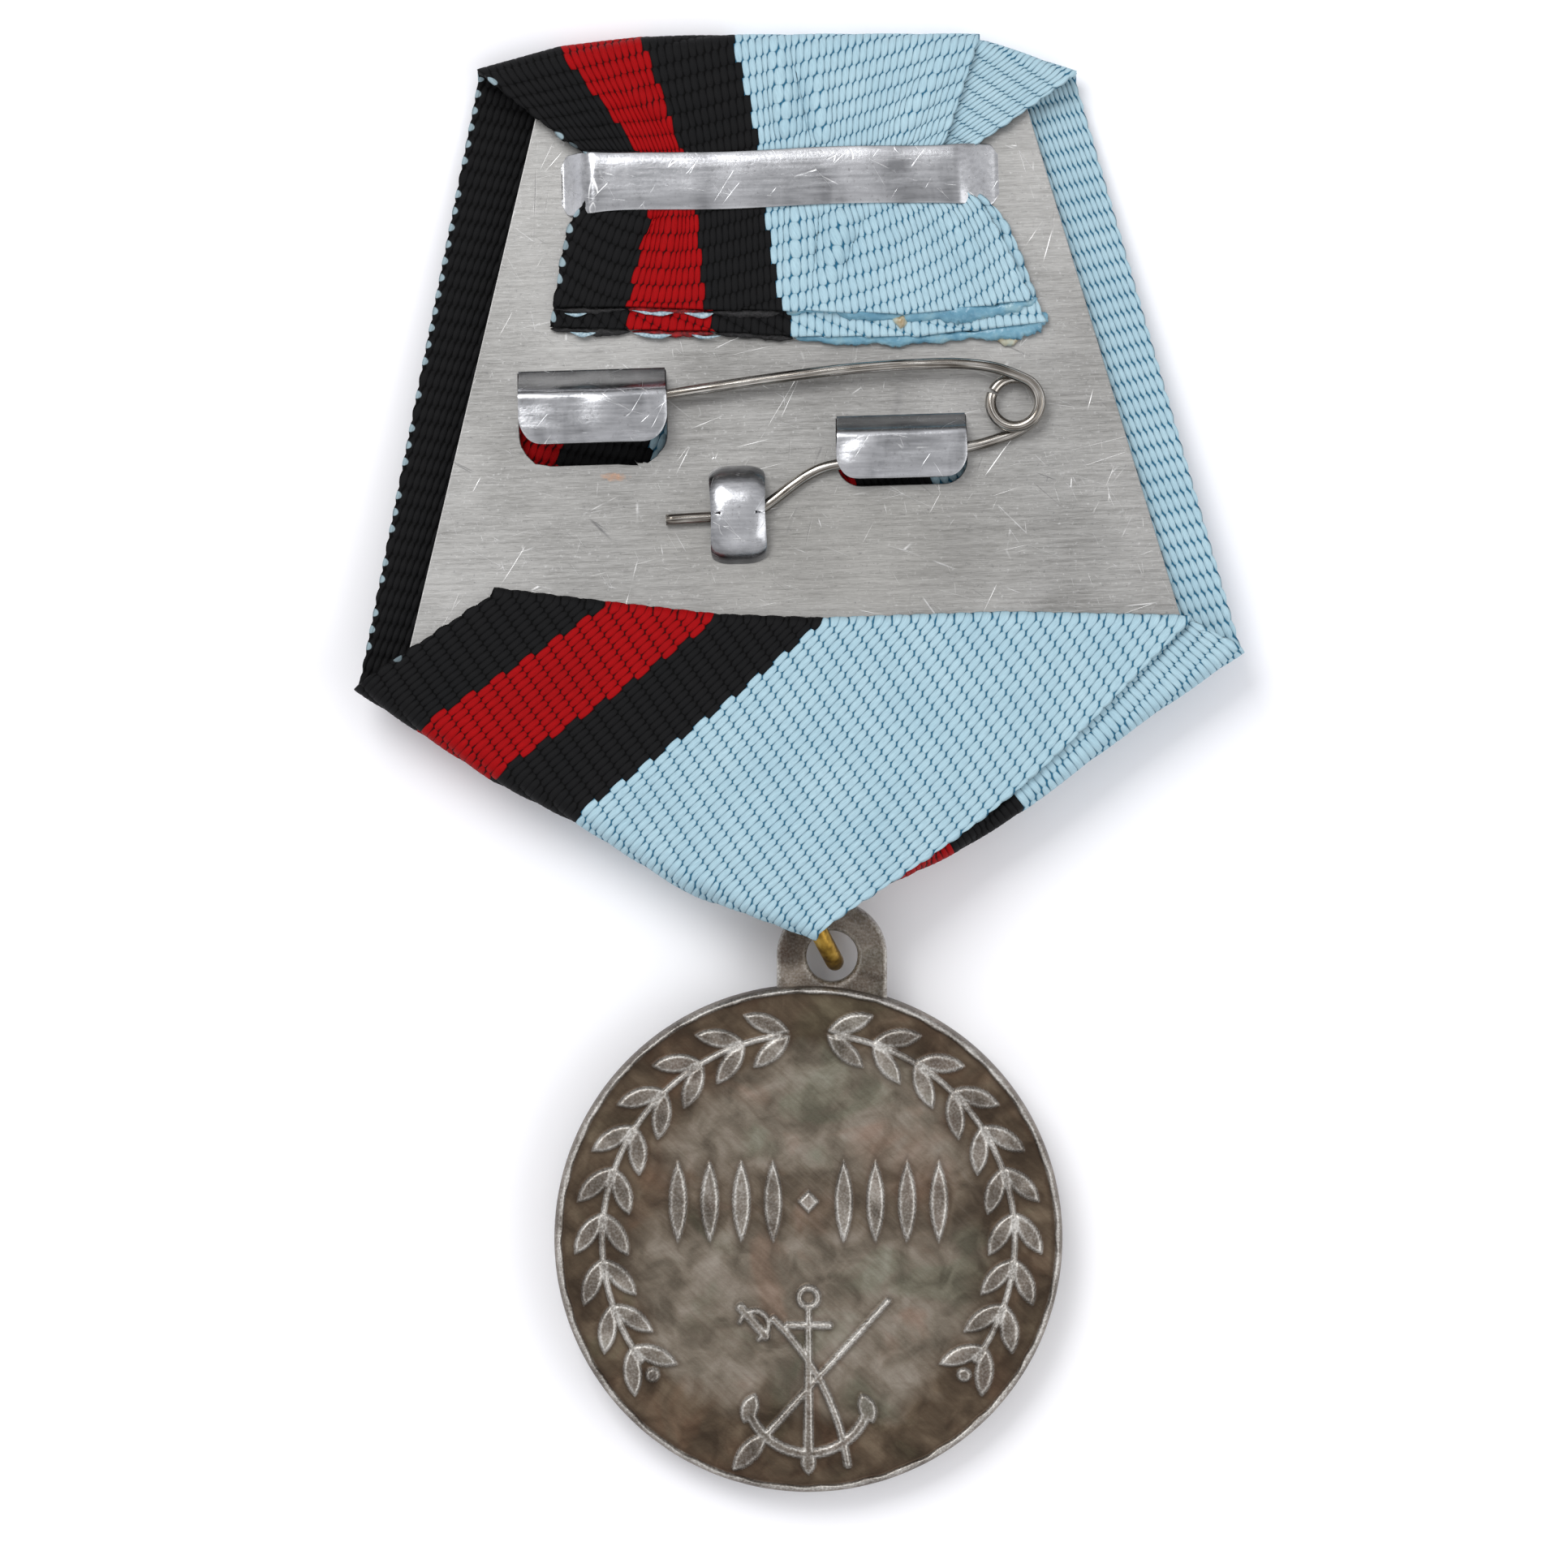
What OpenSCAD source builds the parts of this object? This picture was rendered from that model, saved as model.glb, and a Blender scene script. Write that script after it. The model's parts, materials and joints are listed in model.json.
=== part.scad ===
// Military service medal on a five-sided ribbon block, lying back up.
// Millimetres. +Z is up, away from the surface that it lies on, and +Y points to the block's top.

/* [Medal] */
// Radius of the disc
disc_r = 14; // [13:0.5:14]
// Thickness of the disc over its rims
disc_t = 2.6; // [2.4:0.1:2.8]
// Width of the raised rim
rim_w = 0.7; // [0.5:0.1:1]
// How far the rim stands above the field
rim_h = 0.3; // [0.2:0.05:0.4]
// Height of the devices above the field
relief_h = 0.25; // [0.1:0.05:0.3]
// Outer radius of the hanging lug
lug_r = 3.05; // [2.9:0.05:3.1]
// Radius of the hole in the lug
lug_hole_r = 1.5; // [1.45:0.05:1.6]
// Thickness of the lug
lug_t = 1.5; // [1.3:0.1:1.5]
// Slope of the medal where it lies, with its lug raised
medal_tilt = 2.5; // [2.4:0.1:2.6]

/* [Backing plate] */
// Thickness of the sheet
plate_t = 0.5; // [0.4:0.05:0.5]
// Half of the plate's width at its top edge
plate_top_half = 12.9; // [12.5:0.1:13]
// Half of the plate's width at its lower corners
plate_low_half = 21.6; // [21:0.1:21.8]
// How far the plate is turned on the ribbon
plate_turn = 1.7; // [1.5:0.1:1.9]
// Slope of the block where it lies, with its tip raised
block_tilt = 4; // [3.9:0.1:4.1]
// Width of the strap that holds the ribbon's ends
strap_w = 3.1; // [2.8:0.1:3.2]

/* [Safety pin] */
// Diameter of the pin's wire
pin_d = 0.62; // [0.5:0.02:0.64]
// Middle radius of the coil
coil_r = 1.36; // [1.3:0.02:1.4]

/* [Suspension ring] */
// Middle radius of the ring
ring_r = 2.5; // [2.45:0.05:2.55]
// Diameter of the ring's wire
ring_d = 1; // [0.8:0.1:1]

/* [Ribbon] */
// Thickness of two layers of ribbon
ribbon_t = 0.8; // [0.7:0.05:0.85]

/* [Hidden] */
$fn = 64;
slack = 0.05;

// Corners of the folded block, seen from the back
block_top_left = [-17.6, 38.3];
block_top_right = [15.3, 38.2];
block_right = [24.35, 6.6];
block_tip = [0.95, -9.4];
block_left = [-24.25, 4.4];
block_top_y = 40.2;

// The plate's own frame, turned about its middle
plate_mid = [-0.5, 20];
plate_top = 18.9;
plate_low = -13.8;
plate_tip = -28.6;
hole_at = [-0.44, -26.79];
ring_hole_r = 0.95;

// Heights in the block's frame, where the plate's front face is zero
front_low = -slack - ribbon_t;
tails_top = plate_t + ribbon_t;
block_rise = block_top_y * sin(block_tilt) - front_low * cos(block_tilt);

// Back layers rise over the ring on their way to the tip
bulge_h = 1.95;
bulge_y0 = 1.5;
bulge_y1 = -3.2;

// Heights of the pin above the plate's back face
leg_z = plate_t + slack + pin_d / 2;
coil_rise = pin_d + slack;
coil_at = [12.45, -0.35];
coil_start = -50;
coil_split = 150;
coil_end = 430;

// Strap over the ribbon's ends: left end, length, and the run of each foot
strap_at = [-12.3, 12.45];
strap_len = 24.3;
strap_foot = 1.6;
strap_window = [-11.2, 11];

// Catch for the needle and the tab that grips the leg: top left corner, width, length of the
// tab, gap under it, and length of the window that it was bent from
catch_at = [-14.95, 2.1];
catch_w = 8.15;
catch_len = 4.1;
catch_gap = 1.7;
catch_window = 4.65;
grip_at = [2.55, -0.9];
grip_w = 7.15;
grip_len = 3.45;
grip_gap = 0.85;
grip_window = 3.25;
tab_corner = 1.4;

// Keeper over the leg's free end
keeper_at = [-3.02, -3.5];
keeper_len = 5.1;
keeper_w = 2.85;
keeper_gap = 0.9;
keeper_foot = 0.9;

// Devices struck on the disc, measured from its middle
laurel_r = 11.4;
row_y = 2.1;

// Ring, medal and the places where they meet
ring_turn = -62;
ring_mid = [0.83, -8.6, ring_r + ring_d / 2];
disc_y = -26.05;
disc_x = 0.55;
disc_low = disc_y - disc_r;
lug_at = [1.3, 15.65];
field_z = disc_t - rim_h;

// Where the front bands are cut back round the lug
lug_clear_at = [1, -8.9];
lug_clear_r = 4.9;

module on_block() {
    translate([0, 0, block_rise]) rotate([-block_tilt, 0, 0]) children();
}

module on_plate() {
    on_block() translate([plate_mid[0], plate_mid[1], 0]) rotate([0, 0, plate_turn]) children();
}

module on_medal() {
    translate([disc_x, disc_low, 0]) rotate([medal_tilt, 0, 0]) translate([0, disc_r, 0]) children();
}

// A tab bent up from the sheet and folded over, open below. Its outer top edge is at y = 0
module folded_tab(width, length, gap) {
    outer_r = plate_t / 2 + gap + plate_t;
    intersection() {
        rotate([90, 0, 90]) linear_extrude(width) {
            translate([-length, plate_t + gap]) square([length - outer_r, plate_t]);
            translate([-outer_r, plate_t / 2]) intersection() {
                difference() {
                    circle(r = outer_r);
                    circle(r = outer_r - plate_t);
                }
                square(2 * outer_r);
            }
        }
        tab_outline(width, length);
    }
}

// Outline of a tab or its window: square at the top, rounded at the bottom
module tab_outline(width, length) {
    translate([0, 0, -1]) linear_extrude(6) {
        translate([0, tab_corner - length]) square([width, length - tab_corner]);
        translate([tab_corner, -length]) square([width - 2 * tab_corner, 2 * tab_corner]);
        for (x = [tab_corner, width - tab_corner]) translate([x, tab_corner - length]) circle(r = tab_corner);
    }
}

// A strip raised off the sheet, joined to it by sloping feet at both ends
module bridge(length, width, gap, foot) {
    top = plate_t + gap;
    rotate([90, 0, 0]) translate([0, 0, -width / 2]) linear_extrude(width) polygon([
        [0, plate_t / 2], [foot, top], [length - foot, top], [length, plate_t / 2],
        [length, plate_t], [length - foot * 0.8, top + plate_t], [foot * 0.8, top + plate_t], [0, plate_t]
    ]);
}

// The sheet's outline before any cut, larger all round by about grow
module plate_outline(grow) {
    top = plate_top + grow;
    low = plate_low - grow;
    polygon([
        [-plate_top_half - grow, top], [plate_top_half + grow, top], [plate_low_half + grow, low],
        [1.6 + grow, plate_tip - grow], [-2.4 - grow, plate_tip - grow], [-plate_low_half - grow, low]
    ]);
}

module backing_plate() {
    color("silver") on_plate() {
        difference() {
            linear_extrude(plate_t) plate_outline(0);
            // Window under the strap
            translate([strap_window[0], strap_at[1] - strap_w / 2, -1])
                cube([strap_window[1] - strap_window[0], strap_w, 3]);
            // Windows that the catch and the leg's tab were bent from
            translate([catch_at[0], catch_at[1] - plate_t, 0]) tab_outline(catch_w, catch_window);
            translate([grip_at[0], grip_at[1] - plate_t, 0]) tab_outline(grip_w, grip_window);
            // Window under the keeper
            translate([keeper_at[0] - keeper_w / 2, keeper_at[1] - keeper_len + 0.5, -1])
                cube([keeper_w, 4, 3]);
            translate([hole_at[0], hole_at[1], -1]) cylinder(h = 3, r = ring_hole_r);
        }
        translate(strap_at) bridge(strap_len, strap_w, ribbon_t + slack, strap_foot);
        translate(catch_at) folded_tab(catch_w, catch_len, catch_gap);
        translate(grip_at) folded_tab(grip_w, grip_len, grip_gap);
        translate(keeper_at) rotate([0, 0, -90]) bridge(keeper_len, keeper_w, keeper_gap, keeper_foot);
    }
}

// Lower half of the block, seen from the back
module lower_outline(inset) {
    polygon([
        block_left + [inset, 0], [-16.8, 9.3], [22.2, 8], block_right + [-inset, 0],
        block_tip + [inset / 4, inset], block_tip + [-inset / 4, inset]
    ]);
}

module ribbon() {
    color("lightblue") on_block() {
        // Front bands, cut back round the lug
        difference() {
            translate([0, 0, front_low]) linear_extrude(ribbon_t) polygon([
                block_top_left, [-8, block_top_y], [9, block_top_y], block_top_right,
                block_right, block_tip, block_left
            ]);
            translate([lug_clear_at[0], lug_clear_at[1], -5]) cylinder(h = 6, r = lug_clear_r);
        }
        // Fold over the plate's top edge
        translate([0, 0, front_low]) linear_extrude(tails_top - front_low) polygon([
            [-14.4, 39.4], [-8, block_top_y], [9, block_top_y], [13.4, 39.4]
        ]);
        // Ends of the ribbon under the strap, and the fold's two shoulders
        translate([0, 0, plate_t]) linear_extrude(ribbon_t) polygon([
            [-13.6, 24.6], [-11.1, 31.5], [-11.1, 34], [-14.4, 39.4],
            [13.4, 39.4], [9.6, 34], [10, 31.5], [13.6, 25]
        ]);
        // Folded lower triangle, rising over the ring
        intersection() {
            translate([0, 0, -5]) linear_extrude(12) lower_outline(0);
            rotate([90, 0, 90]) translate([0, 0, -30]) linear_extrude(60) polygon([
                [10, plate_t], [10, tails_top], [bulge_y0, tails_top],
                [bulge_y1, tails_top + bulge_h], [-10, tails_top + bulge_h],
                [-10, plate_t + bulge_h], [bulge_y1, plate_t + bulge_h], [bulge_y0, plate_t]
            ]);
        }
        // Folded edges that join the front bands to the back, outside the plate
        translate([0, 0, front_low]) linear_extrude(tails_top - front_low) difference() {
            lower_outline(0);
            translate(plate_mid) rotate(plate_turn) plate_outline(0.15);
            translate([-30, 5]) square([60, 10]);
            translate([-12, -12]) square([24, 18]);
        }
    }
}

// A round wire swept along a line of points, as one closed tube. The line stays clear of vertical
module wire(points, radius, sides = 10) {
    last = len(points) - 1;
    function way(i) = points[min(i + 1, last)] - points[max(i - 1, 0)];
    function across(i) = let (w = way(i), c = cross([0, 0, 1], w)) c / norm(c);
    function up(i) = let (c = cross(way(i), across(i))) c / norm(c);
    rings = [for (i = [0 : last], j = [0 : sides - 1])
        points[i] + radius * (cos(j * 360 / sides) * across(i) + sin(j * 360 / sides) * up(i))];
    walls = [for (i = [0 : last - 1], j = [0 : sides - 1]) let (k = (j + 1) % sides)
        [i * sides + j, (i + 1) * sides + j, (i + 1) * sides + k, i * sides + k]];
    caps = [[for (j = [0 : sides - 1]) j], [for (j = [sides - 1 : -1 : 0]) last * sides + j]];
    polyhedron(points = rings, faces = concat(walls, caps));
}

// Points round the pin's coil, which climbs as it turns
function coil(from, to) = [for (a = [from : 10 : to]) [
    coil_at[0] + coil_r * cos(a), coil_at[1] + coil_r * sin(a), leg_z + coil_rise * (a - coil_start) / 360]];

module pin_spring() {
    leg = [[-7, -6.25], [-4, -6.15], [-2.4, -6.05], [-1.5, -5.65], [0.1, -4.5], [1.2, -3.85],
        [2.3, -3.5], [4.2, -3.3], [7, -3.05], [9.8, -2.7], [11.3, -2.3], [12.5, -1.85]];
    color("gainsboro") on_plate()
        wire(concat([for (p = leg) [p[0], p[1], leg_z]], coil(coil_start, coil_split)), pin_d / 2);
}

module pin_needle() {
    top_z = leg_z + coil_rise * (coil_end - coil_start) / 360;
    arm = [[12.3, 1.22, 0], [11.2, 1.6, 0], [9.6, 1.83, 0], [8, 1.88, 0.02], [5, 1.82, 0.06],
        [1.9, 1.62, 0.1], [-2.5, 1.15, 0.15], [-6.9, 0.6, 0.2], [-12.4, -0.15, 0.25]];
    color("gainsboro") on_plate() wire(
        concat(coil(coil_split + 8, coil_end), [for (p = arm) [p[0], p[1], top_z - p[2]]]), pin_d / 2);
}

module suspension_ring() {
    color("goldenrod") translate(ring_mid) rotate([90, 0, ring_turn]) rotate_extrude()
        translate([ring_r, 0]) circle(d = ring_d);
}

// A leaf made of two arcs, along y
module leaf(length, width) {
    arc_r = (length * length / 4 + width * width / 4) / width;
    intersection() {
        translate([arc_r - width / 2, 0]) circle(r = arc_r);
        translate([width / 2 - arc_r, 0]) circle(r = arc_r);
    }
}

// Two laurel branches that leave a gap at the top
module laurel() {
    for (side = [-1, 1], i = [0 : 8]) {
        angle = 90 + side * (20 + i * 15.5);
        rotate(angle) translate([laurel_r, 0]) rotate(side * -62) leaf(3.2, 1.1);
    }
}

// A row of upright leaves with a lozenge at its middle
module leaf_row() {
    for (x = [-7.2, -5.3, -3.4, -1.6, 1.6, 3.4, 5.3, 7.2]) translate([x, row_y]) leaf(4.4, 0.95);
    translate([0, row_y]) rotate(45) square(0.8, center = true);
}

// An anchor with a crossed sabre and oar
module crossed_arms() {
    translate([0, -8]) square([0.5, 7.4], center = true);
    translate([0, -5.6]) square([1.7, 0.4], center = true);
    translate([0, -3.9]) difference() {
        circle(r = 0.62);
        circle(r = 0.3);
    }
    translate([0, -8.4]) difference() {
        circle(r = 3.6);
        translate([0, 0.5]) circle(r = 3.7);
    }
    for (side = [-1, 1]) translate([0, -8]) rotate(side * 40) square([0.45, 10], center = true);
}

module medal_disc() {
    color("dimgray") on_medal() {
        difference() {
            cylinder(h = disc_t, r = disc_r);
            translate([0, 0, field_z]) cylinder(h = 1, r = disc_r - rim_w);
            translate([0, 0, -1]) cylinder(h = 1 + rim_h, r = disc_r - rim_w);
        }
        translate([0, 0, field_z - slack]) linear_extrude(relief_h + slack) {
            laurel();
            leaf_row();
            crossed_arms();
        }
        translate([0, 0, rim_h - relief_h]) linear_extrude(relief_h + slack) star();
        difference() {
            translate([0, 0, (disc_t - lug_t) / 2]) linear_extrude(lug_t) difference() {
                union() {
                    translate(lug_at) circle(r = lug_r);
                    translate([lug_at[0] - lug_r, 12.9]) square([2 * lug_r, lug_at[1] - 13.6]);
                }
                circle(r = disc_r - rim_w / 2);
            }
            translate([lug_at[0], lug_at[1], 0]) cylinder(h = disc_t, r = lug_hole_r);
        }
    }
}

// Plain five-pointed star on the face that lies down
module star() {
    polygon([for (i = [0 : 9]) (i % 2 == 0 ? 7 : 2.8) * [sin(i * 36), cos(i * 36)]]);
}

backing_plate();
ribbon();
pin_spring();
pin_needle();
suspension_ring();
medal_disc();
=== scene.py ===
"""Looks for the service medal: ribbon, plate, pin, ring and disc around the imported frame."""
import json
import math

import bmesh
import bpy
import numpy as np
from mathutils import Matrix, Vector


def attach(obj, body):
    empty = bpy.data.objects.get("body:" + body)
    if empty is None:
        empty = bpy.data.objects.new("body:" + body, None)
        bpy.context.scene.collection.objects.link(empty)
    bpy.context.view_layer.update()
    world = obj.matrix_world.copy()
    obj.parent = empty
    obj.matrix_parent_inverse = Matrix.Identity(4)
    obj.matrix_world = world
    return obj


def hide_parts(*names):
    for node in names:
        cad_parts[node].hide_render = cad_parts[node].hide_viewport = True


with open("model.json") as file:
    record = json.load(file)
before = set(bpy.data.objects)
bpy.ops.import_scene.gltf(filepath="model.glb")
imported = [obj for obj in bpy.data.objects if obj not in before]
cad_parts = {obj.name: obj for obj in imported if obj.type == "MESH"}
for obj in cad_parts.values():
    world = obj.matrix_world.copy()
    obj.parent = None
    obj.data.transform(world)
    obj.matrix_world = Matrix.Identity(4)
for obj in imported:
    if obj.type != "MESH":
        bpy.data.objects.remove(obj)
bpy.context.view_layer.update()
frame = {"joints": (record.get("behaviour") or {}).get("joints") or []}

MM = 0.001
UP = np.array([0, 0, 1.0])

# ---------------------------------------------------------------- the block's own frame, in mm
joints = {joint["name"]: joint for joint in frame["joints"]}
BLOCK_TILT = math.atan2(*joints["ring_swing"]["axis"][1:])
PLATE_T = 0.5
HINGE = [c / MM for c in joints["ring_swing"]["pos_m"]]
RING_MID = [c / MM for c in joints["medal_swing"]["pos_m"]]
COS_T, SIN_T = math.cos(BLOCK_TILT), math.sin(BLOCK_TILT)
BLOCK_RISE = (HINGE[1] * SIN_T + HINGE[2] * COS_T - PLATE_T / 2) / COS_T
PLATE_MID = (-0.5, 20.0)
PLATE_TURN = math.radians(1.7)


def block_to_world(p):
    """Points of the tilted block, in mm, as places in metres."""
    p = np.asarray(p, float)
    x, y, z = p[..., 0], p[..., 1], p[..., 2]
    return np.stack([x, y * COS_T + z * SIN_T, BLOCK_RISE - y * SIN_T + z * COS_T], -1) * MM


def plate_to_block(p):
    """Places of the turned plate, in the block's frame."""
    p = np.asarray(p, float)
    c, s = math.cos(PLATE_TURN), math.sin(PLATE_TURN)
    x, y = p[..., 0], p[..., 1]
    return np.stack([PLATE_MID[0] + x * c - y * s, PLATE_MID[1] + x * s + y * c, p[..., 2]], -1)


def to_frame(x, y, at, turn):
    """Places seen from a point, along and across a direction."""
    c, s = math.cos(turn), math.sin(turn)
    return (x - at[0]) * c + (y - at[1]) * s, (y - at[1]) * c - (x - at[0]) * s


def smoothstep(x, low, high):
    """A smooth rise from 0 at low to 1 at high."""
    f = np.clip((x - low) / (high - low), 0, 1)
    return f * f * (3 - 2 * f)


# ---------------------------------------------------------------- meshes
def linked(name, data):
    """A new object in the scene."""
    made = bpy.data.objects.new(name, data)
    bpy.context.collection.objects.link(made)
    return made


def mesh_object(name, points, faces, smooth=True):
    """A linked mesh from points in metres and faces of one size."""
    mesh = bpy.data.meshes.new(name)
    points, faces = np.asarray(points, np.float32), np.asarray(faces, np.int32)
    mesh.vertices.add(len(points))
    mesh.vertices.foreach_set("co", points.ravel())
    count, sides = faces.shape
    mesh.loops.add(count * sides)
    mesh.loops.foreach_set("vertex_index", faces.ravel())
    mesh.polygons.add(count)
    mesh.polygons.foreach_set("loop_start", np.arange(0, count * sides, sides, dtype=np.int32))
    mesh.polygons.foreach_set("use_smooth", np.full(count, smooth))
    mesh.update()
    mesh.validate()
    return linked(name, mesh)


def grid_faces(rows, cols):
    """Quads of an open grid."""
    i, j = np.meshgrid(np.arange(rows - 1), np.arange(cols - 1), indexing="ij")
    a = i * cols + j
    return np.stack([a, a + 1, a + cols + 1, a + cols], -1).reshape(-1, 4)


def wrapped_faces(rows, cols, loop=False):
    """Quads of a grid whose columns close on themselves, as its rows do too in a loop."""
    i, j = np.meshgrid(np.arange(rows if loop else rows - 1), np.arange(cols), indexing="ij")
    below, right = (i + 1) % rows * cols, (j + 1) % cols
    return np.stack([i * cols + j, below + j, below + right, i * cols + right], -1).reshape(-1, 4)


def edit(mesh, *changes):
    """Change a mesh in place."""
    work = bmesh.new()
    work.from_mesh(mesh)
    for change in changes:
        change(work)
    work.to_mesh(mesh)
    work.free()


def drop_loose(work):
    bmesh.ops.delete(work, geom=[v for v in work.verts if not v.link_faces], context="VERTS")


def merge_doubles(work):
    bmesh.ops.remove_doubles(work, verts=work.verts, dist=1e-6)


def fill_holes(work):
    bmesh.ops.holes_fill(work, edges=[e for e in work.edges if e.is_boundary], sides=0)


def face_outward(work):
    bmesh.ops.recalc_face_normals(work, faces=work.faces)


def circle(sides):
    """Angles evenly round a circle, in radians."""
    return np.linspace(0, 2 * math.pi, sides, endpoint=False)


def on_circle(centre, radius, degrees):
    """Points of a circle at some angles in degrees."""
    return [(centre[0] + radius * math.cos(math.radians(a)),
             centre[1] + radius * math.sin(math.radians(a))) for a in degrees]


def rounded_box(x0, x1, y0, y1, radius, round_top=True, step=10):
    """A box's outline, its lower corners or all of them rounded."""
    out = []
    for x, y, first in ((x1, y1, 0), (x0, y1, 90), (x0, y0, 180), (x1, y0, 270)):
        if first < 180 and not round_top:
            out.append((x, y))
            continue
        centre = (x - radius if x == x1 else x + radius, y - radius if y == y1 else y + radius)
        out += on_circle(centre, radius, range(first, first + 91, step))
    return out


def add_attribute(made, name, values):
    """Three numbers at each point, for the material to read."""
    layer = made.data.attributes.new(name, "FLOAT_VECTOR", "POINT")
    layer.data.foreach_set("vector", np.asarray(values, np.float32).ravel())


def unit(v):
    """Vectors of length one."""
    return v / np.maximum(np.linalg.norm(v, axis=-1, keepdims=True), 1e-9)


def grid_normals(p):
    return unit(np.cross(np.gradient(p, axis=0), np.gradient(p, axis=1)))


# ---------------------------------------------------------------- shader helpers
def feed(tree, slots, values):
    """Link or set a node's inputs, from sockets, numbers or colours."""
    for slot, value in zip(slots, values):
        if isinstance(value, Node):
            tree.links.new(value.socket, slot)
        else:
            slot.default_value = value if isinstance(value, (int, float)) else (*value, 1)


class Node:
    """A socket in a node tree, with arithmetic."""

    def __init__(self, tree, socket):
        self.tree, self.socket = tree, socket

    def math(self, operation, *others):
        made = self.tree.nodes.new("ShaderNodeMath")
        made.operation = operation
        feed(self.tree, made.inputs, (self, *others))
        return Node(self.tree, made.outputs[0])

    def __add__(self, other):
        return self.math("ADD", other)

    def __sub__(self, other):
        return self.math("SUBTRACT", other)

    def __mul__(self, other):
        return self.math("MULTIPLY", other)

    def __truediv__(self, other):
        return self.math("DIVIDE", other)

    def floor(self):
        return self.math("FLOOR")

    def fract(self):
        return self.math("FRACT")

    def clamp(self):
        return self.math("MAXIMUM", 0.0).math("MINIMUM", 1.0)

    def ramp(self, stops, constant=False):
        made = self.tree.nodes.new("ShaderNodeValToRGB")
        made.color_ramp.interpolation = "CONSTANT" if constant else "LINEAR"
        elements = made.color_ramp.elements
        while len(elements) < len(stops):
            elements.new(0.5)
        for element, (place, colour) in zip(elements, stops):
            element.position = place
            element.color = (*colour, 1)
        self.tree.links.new(self.socket, made.inputs[0])
        return Node(self.tree, made.outputs[0])

    def tones(self, *stops):
        """A ramp from rows of place, red, green and blue, with its colours from 0 to 255."""
        return self.ramp([(place, srgb(*colour)) for place, *colour in stops])


class Material:
    """A Principled material built from nodes."""

    def __init__(self, name, **values):
        self.data = bpy.data.materials.new(name)
        self.data.use_nodes = True
        self.tree = self.data.node_tree
        self.shader = self.tree.nodes["Principled BSDF"]
        for key, value in values.items():
            self.shader.inputs[key.replace("_", " ")].default_value = value

    def attribute(self, name):
        made = self.tree.nodes.new("ShaderNodeAttribute")
        made.attribute_name = name
        return self.split(made.outputs["Vector"])

    def split(self, socket):
        made = self.tree.nodes.new("ShaderNodeSeparateXYZ")
        self.tree.links.new(socket, made.inputs[0])
        return [Node(self.tree, output) for output in made.outputs]

    def place(self, scale=(1, 1, 1), turn=0.0):
        """The object's own coordinates, in millimetres times scale."""
        texture = self.tree.nodes.new("ShaderNodeTexCoord")
        mapping = self.tree.nodes.new("ShaderNodeMapping")
        mapping.inputs["Rotation"].default_value = (0, 0, turn)
        self.tree.links.new(texture.outputs["Object"], mapping.inputs[0])
        stretch = self.tree.nodes.new("ShaderNodeVectorMath")
        stretch.operation = "MULTIPLY"
        stretch.inputs[1].default_value = [s / MM for s in scale]
        self.tree.links.new(mapping.outputs[0], stretch.inputs[0])
        return stretch.outputs[0]

    def join(self, x, y, z=0.0):
        made = self.tree.nodes.new("ShaderNodeCombineXYZ")
        feed(self.tree, made.inputs, (x, y, z))
        return made.outputs[0]

    def noise(self, vector, scale, detail, distortion=0.0):
        made = self.tree.nodes.new("ShaderNodeTexNoise")
        made.inputs["Scale"].default_value = scale
        made.inputs["Detail"].default_value = detail
        made.inputs["Distortion"].default_value = distortion
        self.tree.links.new(vector, made.inputs["Vector"])
        return Node(self.tree, made.outputs["Fac"])

    def plain(self, scale, detail, distortion=0.0):
        """Noise that is the same in every direction, in cells of about 1 / scale mm."""
        return self.noise(self.place(), scale, detail, distortion)

    def cracks(self, vector, scale):
        made = self.tree.nodes.new("ShaderNodeTexVoronoi")
        made.feature = "DISTANCE_TO_EDGE"
        made.inputs["Scale"].default_value = scale
        self.tree.links.new(vector, made.inputs["Vector"])
        return Node(self.tree, made.outputs["Distance"])

    def mix(self, factor, low, high, blend="MIX"):
        made = self.tree.nodes.new("ShaderNodeMix")
        made.data_type, made.blend_type = "RGBA", blend
        feed(self.tree, (made.inputs[0], made.inputs[6], made.inputs[7]), (factor, low, high))
        return Node(self.tree, made.outputs[2])

    def set(self, name, value):
        self.tree.links.new(value.socket, self.shader.inputs[name])

    def bump(self, height, distance, strength):
        made = self.tree.nodes.new("ShaderNodeBump")
        made.inputs["Distance"].default_value = distance * MM
        made.inputs["Strength"].default_value = strength
        self.tree.links.new(height.socket, made.inputs["Height"])
        self.tree.links.new(made.outputs[0], self.shader.inputs["Normal"])


def grained(name, colour_noise, stops, bump_noise, depth, strength, **values):
    """A material whose colour and bumps come from plain noise."""
    made = Material(name, **values)
    made.set("Base Color", made.plain(*colour_noise).tones(*stops))
    made.bump(made.plain(*bump_noise), depth, strength)
    return made


def srgb(r, g, b):
    """A colour named by its usual 0 to 255 values, as linear light."""
    out = []
    for c in (r, g, b):
        c /= 255
        out.append(c / 12.92 if c <= 0.04045 else ((c + 0.055) / 1.055) ** 2.4)
    return tuple(out)


# ---------------------------------------------------------------- ribbon
RIBBON_W = 27.5
STRIPES = (0, 4.6, 9.2, 13.8, 20.6, RIBBON_W)
STRIPE_STARTS = (0, 0.167, 0.334, 0.501)
RIB_PITCH, THREAD_PITCH, THREAD_LEAN = 0.95, 0.42, 0.3
RIB_H = 0.13
STEP = 0.15
PLAN_SAMPLES = 240
CLOTH_T = 0.3
SELVAGE_SWAY = 0.09
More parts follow.
